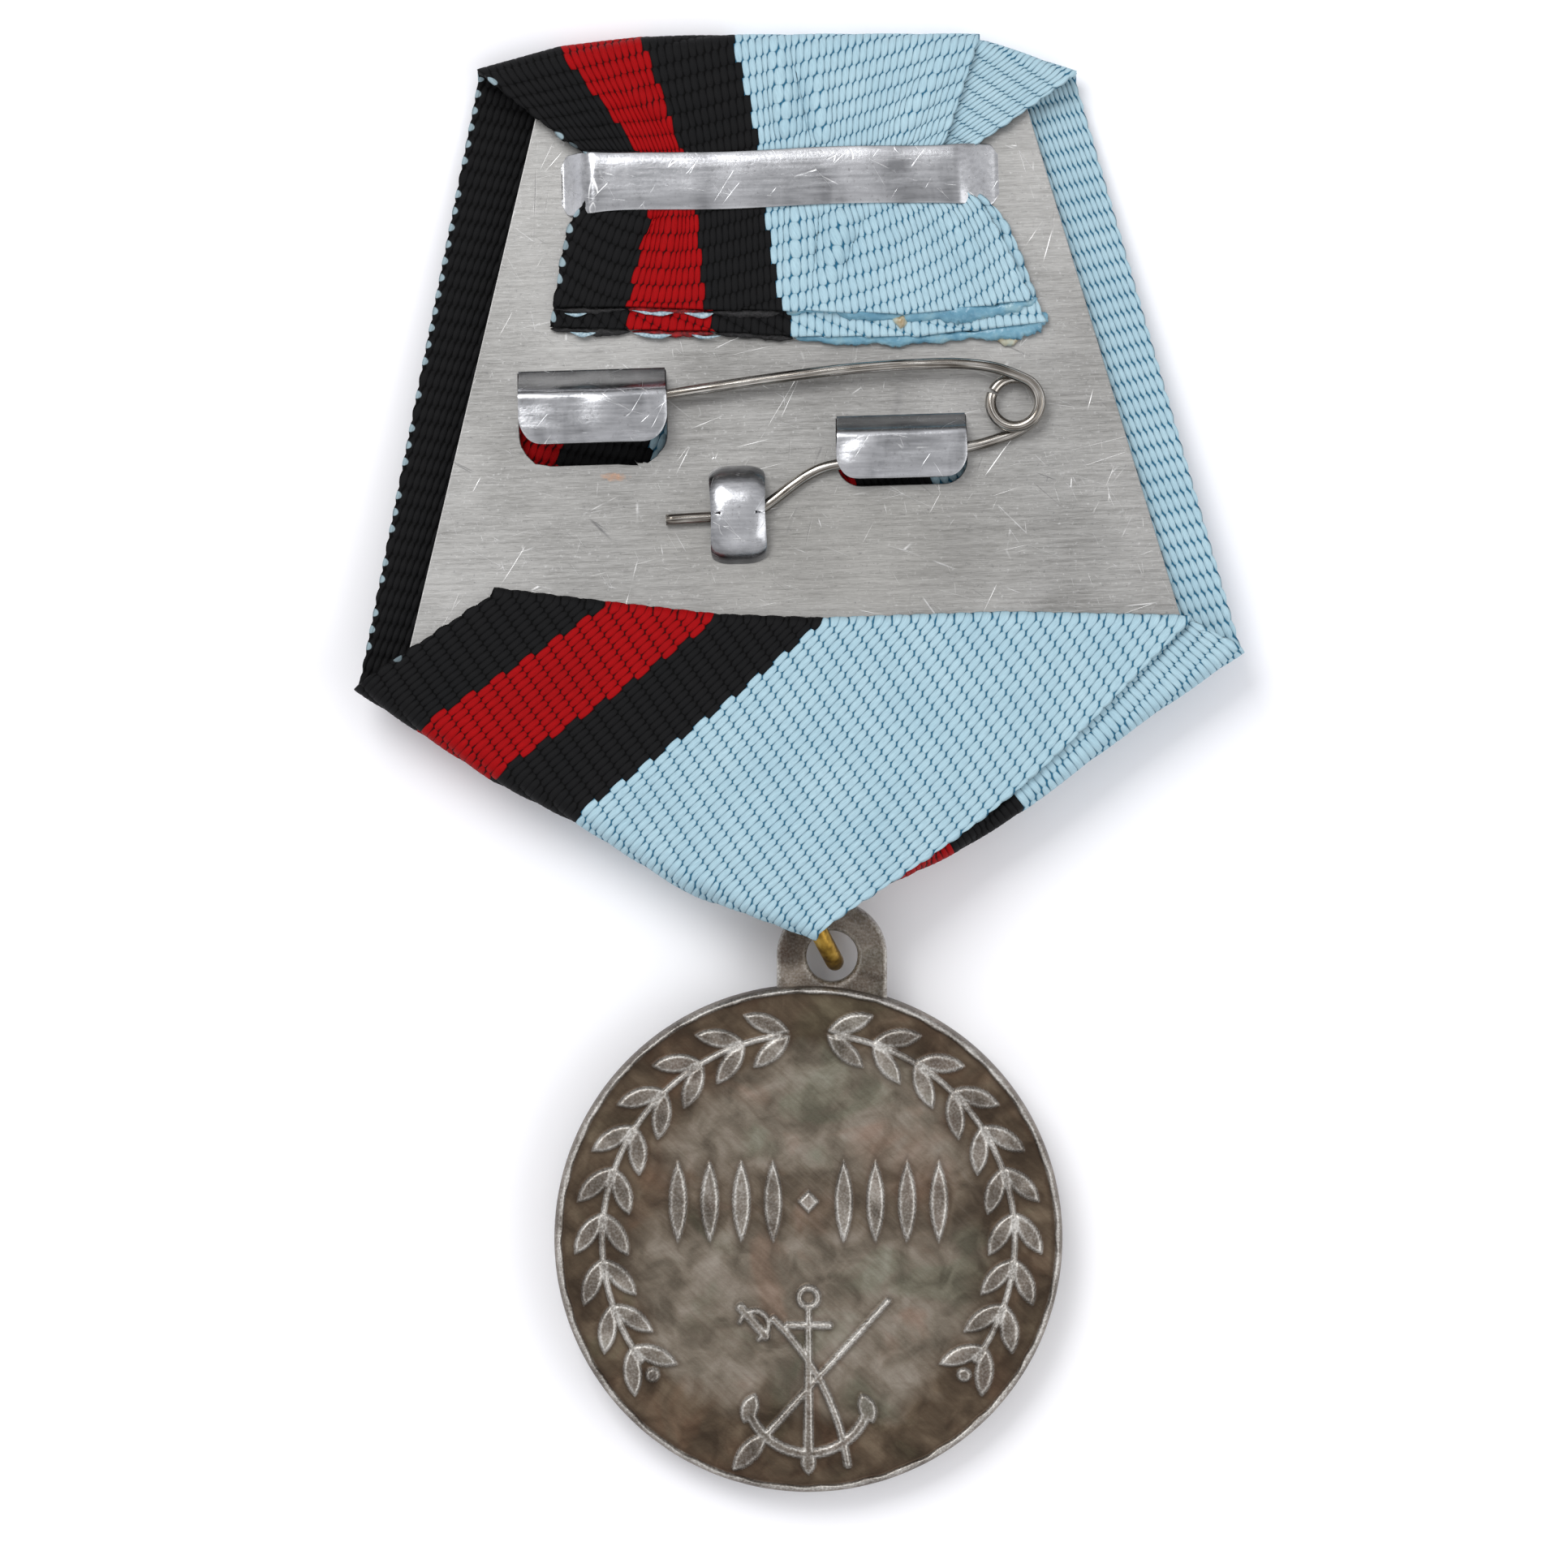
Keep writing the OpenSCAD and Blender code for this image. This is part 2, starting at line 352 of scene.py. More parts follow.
# levels of the four layers over the plate's front face, and where each fold's two layers meet
FRONT_OUTER, FRONT_INNER, BACK_INNER, BACK_OUTER = -0.66, -0.26, 0.86, 1.22
OUTER_FOLD = (FRONT_OUTER + BACK_OUTER) / 2
INNER_FOLD = (FRONT_INNER + BACK_INNER) / 2
CREASE_FOLD = (BACK_INNER + BACK_OUTER) / 2
FOLD_LAP = 0.04
# how far in from a fold the cloth starts to turn
OUTER_ROLL, INNER_ROLL, INNER_TOP_ROLL, CREASE_ROLL = 0.87, 0.45, 0.5, 0.18
# the folds stay open and the front layers are cut back round the ring
RING_CLEAR, RING_CLEAR_R, RING_EASE = (1, -8.9), 4.9, 1.1
FOLDS_RISE = 1.55
STRAP_LINE_Y = 32.6
UPPER_END_Z, LOWER_END_Z = 1.16, 0.78


def spline(levels, samples):
    """Catmull-Rom points along the first axis of levels."""
    levels = np.asarray(levels, float)
    padded = np.concatenate([2 * levels[:1] - levels[1:2], levels, 2 * levels[-1:] - levels[-2:-1]])
    u = np.linspace(0, len(levels) - 1, samples)
    i = np.minimum(u.astype(int), len(levels) - 2)
    f = (u - i).reshape(-1, *[1] * (levels.ndim - 1))
    a, b, c, d = (padded[i + k] for k in range(4))
    square, cube = 2 * a - 5 * b + 4 * c - d, 3 * b - a - 3 * c + d
    return 0.5 * (2 * b + (c - a) * f + square * f**2 + cube * f**3)


def ribs(warp, across):
    """Height of the weave's ribs at a place along and across the strip."""
    row = warp / RIB_PITCH
    ridge = np.sqrt(np.maximum(0, 1 - (1.9 * (row % 1) - 0.95) ** 2))
    thread = (across / THREAD_PITCH + 0.5 * (np.floor(row) % 2) + THREAD_LEAN * (row % 1 - 0.5)) % 1
    lobe = np.sqrt(np.maximum(0, 1 - (1.8 * thread - 0.9) ** 2))
    return RIB_H * (ridge * (0.6 + 0.4 * lobe) - 0.5)


def from_ring(x, y):
    """Distance in plan from the place where the ring passes."""
    return np.hypot(x - RING_CLEAR[0], y - RING_CLEAR[1])


def cloth_patch(levels, height, rolls, meets, side=1, shift=0.0, loops=0.2):
    """One stretch of ribbon between two folds. levels are rows of plan points at the stripes'
    edges, height(x, y) is the sheet's level, and rolls are how far in from its ends it starts to
    turn over to the levels named in meets, down for side 1 and up for side -1. Round the ring the
    fold stays open. shift slides the weave along, and loops is the share of rows whose light
    weft shows."""
    across = np.linspace(0, RIBBON_W, int(RIBBON_W / STEP))
    rows = [[np.interp(across, STRIPES, np.array(level)[:, k]) for k in (0, 1)] for level in levels]
    plan = spline(np.array(rows).transpose(0, 2, 1), PLAN_SAMPLES)
    steps = np.linalg.norm(np.diff(plan, axis=0), axis=-1)
    run = np.concatenate([np.zeros((1, len(across))), np.cumsum(steps, axis=0)])
    flat = run[-1]
    quarter = math.pi / 2 - 1
    length = flat + quarter * sum(rolls)
    count = int(length.max() / STEP)
    q = np.linspace(0, 1, count)[:, None] * length
    out = q - quarter * rolls[0]
    sinks = []
    for roll, meet, from_end, at_start in zip(rolls, meets, (q, length - q), (True, False)):
        if roll:
            turn = np.minimum(from_end / roll, math.pi / 2)
            inset = roll * (1 - np.cos(turn))
            out = np.where(from_end < roll * math.pi / 2, inset if at_start else flat - inset, out)
            sinks.append((roll, meet, 1 - np.sin(turn)))
    xy = np.stack([np.stack([np.interp(out[:, j], run[:, j], plan[:, j, k])
                             for j in range(len(across))], 1) for k in (0, 1)], -1)
    warp_dir = unit(plan[6].mean(0) - plan[0].mean(0))
    warp = q + (plan[0] - plan[0, 0]) @ warp_dir + shift
    # scalloped selvages
    sway = SELVAGE_SWAY * np.abs(np.sin(math.pi * warp / RIB_PITCH))
    edge = unit(np.gradient(xy, axis=1))
    near = smoothstep(across, RIBBON_W - 0.4, RIBBON_W) - smoothstep(-across, -0.4, 0)
    xy = xy + edge * (near * sway)[..., None]
    level = height(xy[..., 0], xy[..., 1])
    z = level.copy()
    ring_off = from_ring(xy[..., 0], xy[..., 1])
    open_fold = smoothstep(-ring_off, -RING_CLEAR_R - RING_EASE, -RING_CLEAR_R)
    for roll, meet, share in sinks:
        closed = (meet - side * FOLD_LAP - level) * (1 - open_fold) - side * roll * open_fold
        z += closed * share
    points = np.concatenate([xy, z[..., None]], -1)
    normals = grid_normals(points)
    flip = np.sign(normals[count // 2, len(across) // 2, 2]) * side
    points = points + normals * (flip * ribs(warp, across) * side)[..., None]
    strip = np.stack([np.broadcast_to(across, warp.shape), warp, np.full_like(warp, loops)], -1)
    return points, strip, flip


def folds_height(x, y):
    """The lower triangle's rise over the ring near the tip."""
    return FOLDS_RISE * smoothstep(-y, -3.5, 5.5) * smoothstep(-np.abs(x - 0.9), -10, -2)


def wrinkles(x, y):
    """Bunching of the ribbon's ends where they pass under the strap: place, turn, length, width
    and height of each crease."""
    out = 0.0
    for cx, cy, turn, length, width, high in (
            (-0.9, 36.6, -82, 2.9, 0.42, 0.40), (0.2, 36.7, -78, 2.8, 0.4, -0.34),
            (1.2, 36.2, -84, 2.2, 0.4, 0.30), (-0.2, 29.0, 86, 2.6, 0.38, 0.30),
            (1.0, 28.9, 84, 2.7, 0.36, -0.30), (2.1, 28.8, 80, 2.9, 0.4, 0.36),
            (3.2, 29.2, 66, 2.6, 0.4, -0.26), (4.9, 28.8, 52, 3.2, 0.6, 0.22),
            (6.6, 36.6, 60, 3.0, 0.5, 0.30), (-11.2, 36.0, 40, 2.4, 0.5, 0.26),
            (-7.6, 36.2, -38, 2.4, 0.5, 0.28), (-8.4, 29.4, 60, 2.0, 0.4, -0.24),
            (-7.2, 29.0, 78, 2.2, 0.45, 0.24), (9.0, 28.9, -58, 2.6, 0.5, 0.24),
            (-5.2, 37.0, 5, 4.0, 0.8, 0.14)):
        u, v = to_frame(x, y, (cx, cy), math.radians(turn))
        out = out + high * np.exp(-(u / length) ** 2 - (v / width) ** 2)
    return out * smoothstep(np.abs(y - STRAP_LINE_Y), 1.5, 2.6)


def ribbon():
    """The whole folded strip, as one sheet of cloth."""
    lower_left = [(-24.24, 4.39), (-20.75, 2.1), (-16.65, -0.6), (-12.2, -2.85), (-6.0, -6.75),
                  (0.96, -9.42)]
    crease = [(-16.7, 9.45), (-10.6, 8.7), (-4.4, 8.0), (1.3, 7.8), (11.5, 8.15), (21.6, 7.95)]
    bow = [(0, 0), (0.1, -0.05), (0.15, -0.1), (0.2, -0.15), (0.35, -0.4), (0.6, -0.8)]
    halfway = [((a[0] + b[0]) / 2 + d[0], (a[1] + b[1]) / 2 + d[1])
               for a, b, d in zip(lower_left, crease, bow)]
    lower_right = [(1.0, -8.2), (5.1, -6.2), (8.6, -4.5), (12.3, -2.2), (18.5, 2.45), (24.37, 6.5)]
    top_left = [(-17.65, 38.35), (-13.2, 39.6), (-8.6, 40.15), (-3.6, 40.25), (3.2, 40.3),
                (9.95, 40.3)]
    top_right = [(-12.6, 39.0), (-7.8, 39.7), (-3.4, 39.9), (1.0, 40.0), (10.3, 39.95),
                 (15.25, 38.25)]
    upper_end = [
        top_left,
        [(-12.9, 34.6), (-9.5, 34.9), (-6.8, 35.0), (-2.3, 35.0), (3.2, 35.0), (8.3, 35.2)],
        [(-10.3, 32.6), (-8.4, 32.7), (-6.0, 32.8), (-2.1, 32.8), (3.4, 32.8), (7.6, 33.0)],
        [(-12.5, 30.1), (-8.2, 30.4), (-5.6, 30.5), (-1.8, 30.5), (4.4, 30.5), (10.2, 30.8)],
        [(-13.5, 25.3), (-9.4, 25.3), (-5.1, 25.15), (-0.9, 25.1), (6.4, 24.9), (12.9, 25.7)]]
    lower_end = [
        top_right,
        [(-11.9, 34.9), (-8.6, 35.0), (-5.9, 35.0), (-1.9, 35.0), (4.2, 35.0), (10.7, 35.0)],
        [(-10.2, 32.6), (-8.2, 32.8), (-5.7, 32.8), (-1.7, 32.8), (3.6, 32.8), (7.9, 33.0)],
        [(-12.4, 30.1), (-8.9, 30.4), (-5.0, 30.5), (-1.5, 30.5), (4.6, 30.5), (11.2, 30.4)],
        [(-13.7, 24.25), (-9.3, 24.1), (-4.6, 24.0), (-0.2, 23.7), (6.4, 23.7), (13.6, 24.5)]]
    patches = [
        # left band down the front, outermost
        cloth_patch([top_left, lower_left], lambda x, y: FRONT_OUTER + 0 * x,
                    (OUTER_ROLL, OUTER_ROLL), (OUTER_FOLD, OUTER_FOLD), -1, 0.0, 0.75),
        # right band up the front, next to the plate
        cloth_patch([lower_right, top_right], lambda x, y: FRONT_INNER + 0 * x,
                    (INNER_ROLL, INNER_TOP_ROLL), (INNER_FOLD, INNER_FOLD), -1, 0.3),
        # first layer of the lower triangle
        cloth_patch([lower_left, halfway, crease], lambda x, y: BACK_OUTER + folds_height(x, y),
                    (OUTER_ROLL, CREASE_ROLL), (OUTER_FOLD, CREASE_FOLD), 1, 0.2),
        # second layer, beneath it
        cloth_patch([crease, lower_right], lambda x, y: BACK_INNER + folds_height(x, y) - 0.02,
                    (CREASE_ROLL, INNER_ROLL), (CREASE_FOLD, INNER_FOLD)),
        # end of the left band, on top under the strap
        cloth_patch(upper_end, lambda x, y: BACK_OUTER + 0.06 + wrinkles(x, y),
                    (OUTER_ROLL, 0), (OUTER_FOLD, 0), 1, 0.0, 0.6),
        # end of the right band, beneath it
        cloth_patch(lower_end, lambda x, y: BACK_INNER + 0.6 * wrinkles(x, y),
                    (INNER_ROLL, 0), (INNER_FOLD, 0), 1, 0.5),
    ]
    points, faces, strips, start = [], [], [], 0
    for index, (p, strip, flip) in enumerate(patches):
        rows, cols = p.shape[:2]
        quads = grid_faces(rows, cols)
        if index < 2:
            middle = p.reshape(-1, 3)[quads].mean(1)
            quads = quads[from_ring(middle[:, 0], middle[:, 1]) > RING_CLEAR_R]
        if flip < 0:
            quads = quads[:, ::-1]
        points.append(p.reshape(-1, 3))
        strips.append(strip.reshape(-1, 3))
        faces.append(quads + start)
        start += rows * cols
    places = block_to_world(np.concatenate(points))
    made = mesh_object("ribbon_cloth", places, np.concatenate(faces))
    add_attribute(made, "strip", np.concatenate(strips))
    edit(made.data, drop_loose)
    thick = made.modifiers.new("thickness", "SOLIDIFY")
    thick.thickness, thick.offset = CLOTH_T * MM, -1
    made.data.materials.append(ribbon_material())
    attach(made, "suspension")
    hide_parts("ribbon")


def bead(name, line, widths, heights, material, seed, sides=14, per_mm=9):
    """A lumpy half-round bead along a line of block places, in mm."""
    draws = np.random.default_rng(seed)
    count = int(sum(math.dist(a, b) for a, b in zip(line, line[1:])) * per_mm)
    way, wide, high = (spline(values, count) for values in (line, widths, heights))
    pad = 15
    lumps = []
    for span in (7, 23):
        window = np.hanning(span) / math.sqrt(span / 2.6)
        lumps.append(np.convolve(draws.normal(0, 1, count + 2 * pad), window, "same")[pad:-pad])
    wide = wide * (1 + 0.16 * lumps[0] + 0.22 * lumps[1])
    high = high * (1 + 0.14 * lumps[1])
    along = unit(np.gradient(way, axis=0))
    from_end = np.minimum(np.arange(count), np.arange(count)[::-1])
    fade = np.sqrt(np.clip(from_end / 6, 0.02, 1))
    angle = circle(sides)
    rough = 1 + 0.06 * draws.normal(0, 1, (count, sides))
    sideways = (np.cos(angle) * rough * (wide * fade)[:, None])[..., None]
    upward = (np.sin(angle) * rough * (high * fade)[:, None])[..., None]
    points = way[:, None] + np.cross(UP, along)[:, None] * sideways + UP * upward
    made = mesh_object(name, block_to_world(points.reshape(-1, 3)), wrapped_faces(count, sides))
    edit(made.data, fill_holes, face_outward)
    made.data.materials.append(material.data)
    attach(made, "suspension")
    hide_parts("ribbon")


def cut_ends():
    """Glue and frays along the two cut ends, and the light weft threads that show by them."""
    glue = grained("glued_blue_end", (1.1, 4.0),
                   ((0.34, 84, 134, 158), (0.55, 112, 158, 178), (0.72, 140, 172, 180)),
                   (3.0, 4.0), 0.10, 0.8, Roughness=0.24, Coat_Weight=0.35, Coat_Roughness=0.15)
    clear = grained("dried_glue_drop", (1.4, 3.0),
                    ((0.38, 150, 132, 98), (0.6, 176, 178, 160), (0.75, 142, 176, 182)),
                    (3.0, 3.0), 0.08, 0.7, Roughness=0.3, Coat_Weight=0.5, Coat_Roughness=0.1)
    thread = grained("weft_thread", (7.0, 2.0), ((0.35, 120, 148, 162), (0.65, 176, 196, 204)),
                     (7.0, 2.0), 0.04, 0.8, Roughness=0.7)
    dark = grained("frayed_dark_end", (5.0, 3.0), ((0.4, 9, 9, 10), (0.7, 40, 38, 40)),
                   (5.0, 3.0), 0.1, 1.0, Roughness=0.7)
    crimson = grained("frayed_red_end", (5.0, 3.0), ((0.4, 90, 2, 6), (0.7, 168, 8, 16)),
                      (5.0, 3.0), 0.1, 1.0, Roughness=0.7)
    upper, lower = UPPER_END_Z, LOWER_END_Z
    stain = lower - 0.12
    for name, line, widths, heights, material, seed in (
            ("glue_upper_end",
             [(-0.7, 25.0, upper), (1.6, 25.35, upper + 0.1), (4.6, 24.85, upper),
              (8.2, 25.0, upper), (11.0, 25.2, upper), (13.2, 25.8, upper)],
             (0.3, 0.42, 0.36, 0.44, 0.38, 0.30), (0.3, 0.34, 0.30, 0.34, 0.32, 0.26), glue, 11),
            ("glue_lower_end",
             [(-0.2, 23.65, lower), (3.4, 23.6, lower), (6.6, 23.6, lower), (10.2, 23.9, lower),
              (12.6, 24.2, lower), (13.75, 25.0, lower)],
             (0.25, 0.32, 0.26, 0.34, 0.42, 0.3), (0.22, 0.24, 0.22, 0.26, 0.26, 0.2), glue, 12),
            ("glue_drop",
             [(5.2, 24.65, upper + 0.1), (5.7, 24.5, upper + 0.12), (6.0, 24.45, upper + 0.05)],
             (0.3, 0.42, 0.3), (0.22, 0.3, 0.2), clear, 13),
            ("glue_stain", [(10.6, 23.75, stain), (11.6, 23.6, stain), (12.4, 23.9, stain)],
             (0.25, 0.38, 0.22), (0.16, 0.18, 0.14), clear, 14)):
        bead(name, line, widths, heights, material, seed)
    for end, level, widths, heights, sag, seed, spans in (
            ("upper", upper, (0.15, 0.2, 0.15), (0.2, 0.22, 0.2), 0.08, 20,
             ((-13.5, 25.2, -9.5, 25.2), (-9.4, 25.2, -5.2, 25.05), (-5.1, 25.05, -1.0, 25.0))),
            ("lower", lower, (0.14, 0.2, 0.16), (0.18, 0.2, 0.18), 0.1, 30,
             ((-13.7, 24.15, -9.3, 24.0), (-9.2, 24.0, -4.7, 23.9), (-4.6, 23.9, -0.3, 23.6)))):
        for index, ((x0, y0, x1, y1), tint) in enumerate(zip(spans, (dark, crimson, dark))):
            line = [(x0, y0, level), ((x0 + x1) / 2, y0 - sag, level), (x1, y1, level)]
            bead(f"{end}_fray_{index}", line, widths, heights, tint, seed + index)
    strands = [[(-9.2, 25.12), (-8.0, 24.93), (-6.9, 24.98)],
               [(-6.3, 24.97), (-5.3, 24.83), (-4.7, 24.95)],
               [(-12.9, 24.95), (-12.3, 24.85), (-11.7, 24.95)],
               [(-12.6, 23.95), (-11.9, 23.8), (-11.1, 23.95)],
               [(-9.1, 23.9), (-7.9, 23.72), (-7.0, 23.8)],
               [(-5.9, 23.8), (-5.2, 23.65), (-4.3, 23.75)]]
    for index, line in enumerate(strands):
        level = (upper if index < 3 else lower) + 0.18
        bead(f"weft_end_{index}", [(x, y, level) for x, y in line],
             (0.10, 0.13, 0.09), (0.09, 0.10, 0.08), thread, 40 + index)
    # pulled weft floats that show by the strap
    floats = [(-11.0, 36.6, -10.75, 36.2), (-10.1, 36.1, -9.8, 35.5), (-9.25, 35.5, -9.15, 34.9),
              (-8.65, 36.3, -8.6, 35.7), (-8.55, 35.4, -8.5, 34.95), (-8.1, 30.7, -8.2, 30.2),
              (-8.8, 30.0, -8.95, 29.5), (-7.2, 30.0, -7.3, 29.4), (-7.3, 28.7, -7.4, 28.35),
              (-7.35, 27.9, -7.4, 27.4)]
    for index, (x0, y0, x1, y1) in enumerate(floats):
        line = [(x, y, BACK_OUTER + 0.15 + float(wrinkles(x, y)) + bow)
                for x, y, bow in ((x0, y0, 0), ((x0 + x1) / 2, (y0 + y1) / 2, 0.05), (x1, y1, 0))]
        bead(f"weft_float_{index}", line, (0.07, 0.10, 0.07), (0.06, 0.08, 0.06),
             thread, 60 + index, sides=10, per_mm=22)


def ribbon_material():
    """Ribbed weave with its stripes dyed in, thread by thread, and painted shade between the floats.
    """
    cloth = Material("ribbon_weave", Roughness=0.7, Specular_IOR_Level=0.1)
    t, w, loops = cloth.attribute("strip")
    row = w / RIB_PITCH
    own = row.floor()
    off = row - own - 0.5

    def lobe(index, v):
        """Height of a thread's rounded float in one row, and its middle across the strip."""
        parity = (index * 0.5).fract()
        thread = t / THREAD_PITCH + parity + v * THREAD_LEAN
        u = thread.fract() - 0.5
        bulge = u * u * -(1 / 0.53**2) - v * v * (1 / 0.60**2) + 1.0
        rise = bulge.math("MAXIMUM", 0.0).math("SQRT")
        return rise, (thread.floor() + 0.5 - parity) * THREAD_PITCH

    side = off.math("SIGN")
    high_own, t_own = lobe(own, off)
    high_next, t_next = lobe(own + side, off - side)
    high = high_own.math("MAXIMUM", high_next)
    is_next = high_next.math("GREATER_THAN", high_own)
    middle = t_own + (t_next - t_own) * is_next
    place = (middle / RIBBON_W).clamp()

    def stripes(black, red, blue):
        colours = (black, red, black, blue)
        return place.ramp([(at, srgb(*colour)) for at, colour in zip(STRIPE_STARTS, colours)], True)

    stripe = stripes((21, 21, 22), (156, 4, 9), (171, 201, 213))
    # painted shade: each stripe's colour darkened for the gaps between the raised thread floats
    gap = stripes((1, 1, 1), (52, 1, 3), (42, 102, 132))
    fibre = cloth.noise(cloth.join(t * 26.0, w * 2.4), 1.0, 2.0)
    fuzz = cloth.noise(cloth.join(t * 9.0, w * 9.0), 1.0, 3.0)
    patchy = cloth.noise(cloth.join(t * 0.35, w * 0.35), 1.0, 2.0)
    # painted shade: the colour sinks from the stripe to its darkened gap colour where the thread
    # floats fall away
    shade = (high * 1.9 + (fuzz - 0.5) * 0.5 - 0.1).clamp()
    base = cloth.mix(shade, gap, stripe)
    strands = cloth.mix((fibre * 1.6 - 0.4).clamp(), (0.80, 0.82, 0.84), (1.16, 1.14, 1.12))
    base = cloth.mix(1.0, base, strands, "MULTIPLY")
    soiled = cloth.mix((patchy * 2.2 - 0.7).clamp(), (0.93, 0.95, 0.96), (1.05, 1.03, 1.02))
    base = cloth.mix(1.0, base, soiled, "MULTIPLY")
    # light weft loops turn round the dark selvage
    chance = cloth.noise(cloth.join(own * 3.7, loops * 9.0), 1.0, 1.0)
    chosen = ((chance - 0.66 + loops * 0.32) * 30.0).clamp()
    loop = ((t * t * -9.0 - off * off * 12.0 + 0.8) * 4.0).clamp() * chosen
    cloth.set("Base Color", cloth.mix(loop * 0.9, base, srgb(150, 170, 178)))
    cloth.bump(high + fibre * 0.16 + fuzz * 0.1, 0.13, 0.85)
    return cloth.data


# ---------------------------------------------------------------- metals
def scratch_mask(metal, sets):
    """Thin bright lines, each set turned, stretched and thinned out by noise."""
    total = None
    for turn, stretch, scale, width, rarity in sets:
        lines = metal.cracks(metal.place((1.0, stretch, 1.0), turn), scale)
        thin = (lines * (1 / width) * -1.0 + 1.0).clamp()
        spread = metal.noise(metal.place(turn=turn + 1), 0.9 * scale, 2.0)
        some = (spread * 8.0 - 8.0 * rarity).clamp()
        total = thin * some if total is None else (total + thin * some).clamp()
    return total


def plate_material():
    """Brushed aluminium with scratches, painted shade in a broad patch along the strap and one brown
    stain.
    """
    metal = Material("brushed_aluminium", Metallic=1.0)
    brush = metal.noise(metal.place((0.25, 6.0, 6.0), -PLATE_TURN), 1.0, 5.0)
    fine = metal.noise(metal.place((1.6, 24.0, 24.0), -PLATE_TURN), 1.0, 4.0)
    cloud = metal.plain(0.10, 3.0)
    speck = metal.plain(5.5, 3.0)
    marks = scratch_mask(metal, ((0.5, 0.10, 0.42, 0.006, 0.57), (1.9, 0.12, 0.5, 0.006, 0.56),
                                 (2.7, 0.2, 0.9, 0.010, 0.58), (1.3, 0.07, 0.35, 0.005, 0.55)))
    dark_marks = scratch_mask(metal, ((0.15, 0.06, 0.3, 0.006, 0.60), (2.2, 0.1, 0.4, 0.006, 0.60)))
    tone = brush * 0.24 + fine * 0.32 + cloud * 0.44
    grey = tone.tones((0.34, 122, 121, 118), (0.66, 182, 181, 179))
    grey = metal.mix((speck * 5.0 - 3.1).clamp() * 0.5, grey, srgb(222, 222, 222))
    grey = metal.mix((speck * -6.0 + 2.2).clamp() * 0.5, grey, srgb(88, 88, 92))
    x, y, _ = metal.split(metal.place())

    def patch(at, x_fall, y_fall, level, grain):
        """A soft-edged spot on the plate."""
        dx, dy = x - at[0], y - at[1]
        return ((dx * dx * x_fall + dy * dy * y_fall) * -1.0 + level + grain).clamp()

    # painted shade: a broad soft patch along the strap is darkened
    shaded = patch((2.0, 12.5), 0.006, 0.03, 1.0, (cloud - 0.5) * 1.5)
    grey = metal.mix(shaded * 0.5, grey, metal.mix(1.0, grey, (0.62, 0.61, 0.58), "MULTIPLY"))
    stain = patch((-10.16, 15.95), 1.2, 14.0, 0.9, (speck - 0.5) * 2.0)
    grey = metal.mix(stain * 0.45, grey, srgb(196, 132, 76))
    grey = metal.mix(marks * 0.7, grey, srgb(242, 242, 242))
    metal.set("Base Color", metal.mix(dark_marks * 0.6, grey, srgb(82, 82, 86)))
    metal.set("Roughness", (brush * 0.26 + fine * 0.12 + 0.2 + cloud * 0.1 - marks * 0.1).clamp())
    metal.bump(brush * 0.5 + fine * 0.5 + speck * 0.4 + marks * 0.9 - dark_marks, 0.012, 0.7)
    return metal.data


def pressed_material():
    """The smoother, brighter metal of the bent pieces."""
    metal = Material("pressed_aluminium", Metallic=1.0)
    draw = metal.noise(metal.place((0.5, 5.0, 5.0), -PLATE_TURN), 1.0, 4.0)
    cloud = metal.noise(metal.place((1.0, 0.6, 1.0)), 0.42, 3.0, 0.5)
    speck = metal.plain(6.0, 3.0)
    marks = scratch_mask(metal, ((0.6, 0.10, 0.6, 0.006, 0.55), (1.8, 0.14, 0.9, 0.007, 0.55),
                                 (2.5, 0.12, 0.7, 0.006, 0.55)))
    tone = draw * 0.3 + cloud * 0.7
    grey = tone.tones((0.34, 142, 143, 146), (0.5, 180, 181, 184), (0.68, 204, 205, 208))
    grey = metal.mix((speck * -6.0 + 2.3).clamp() * 0.45, grey, srgb(110, 108, 106))
    metal.set("Base Color", metal.mix(marks * 0.7, grey, srgb(250, 250, 250)))
    metal.set("Roughness", (draw * 0.14 + speck * 0.1 + 0.12 + marks * 0.15).clamp())
    metal.bump(draw * 0.4 + speck * 0.5 + cloud * 0.8 - marks * 0.8, 0.014, 0.7)
    return metal.data


SHEET_MID = PLATE_T / 2
PLATE_OUTLINE = [(-12.9, 18.9), (12.9, 18.9), (21.6, -13.8),
                 (1.55, -28.5), (-2.35, -28.5), (-21.6, -13.8)]
HOLE_AT, HOLE_R = (-0.44, -26.79), 0.95
CATCH = dict(x=(-14.95, -6.8), top=2.1, length=4.1, window=4.65,
             gap=1.7, ramp=1.6, corner=1.5, phase=1.2)
GRIP = dict(x=(2.55, 9.7), top=-0.9, length=3.45, window=3.25,
            gap=0.85, ramp=1.15, corner=1.3, phase=4.0)
KEEPER_X, KEEPER_Y, KEEPER_W, KEEPER_GAP = -3.02, (-8.6, -3.5), 2.85, 0.9
STRAP_X, STRAP_Y, STRAP_W, STRAP_GAP = (-12.3, 12.0), 12.45, 3.1, 0.85
CATCH_CORNER, GRIP_CORNER, SLOT_CORNER = 1.7, 1.3, 0.3
BEVEL, BRIDGE_BEVEL = 0.11, 0.14
SHEET_EDGE = 0.05


def sheet_piece(name, points, material, bevel=BEVEL):
    """A bent piece of the plate from a grid of plate places at its middle thickness."""
    rows, cols = points.shape[:2]
    places = block_to_world(plate_to_block(points.reshape(-1, 3)))
    made = mesh_object(name, places, grid_faces(rows, cols))
    thick = made.modifiers.new("thickness", "SOLIDIFY")
    thick.thickness, thick.offset = PLATE_T * MM, 0
    ease = made.modifiers.new("eased_edges", "BEVEL")
    ease.width, ease.segments, ease.limit_method = bevel * MM, 3, "ANGLE"
    ease.angle_limit = math.radians(50)
    made.data.materials.append(material)
    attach(made, "suspension")
    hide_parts("backing_plate")
    return made


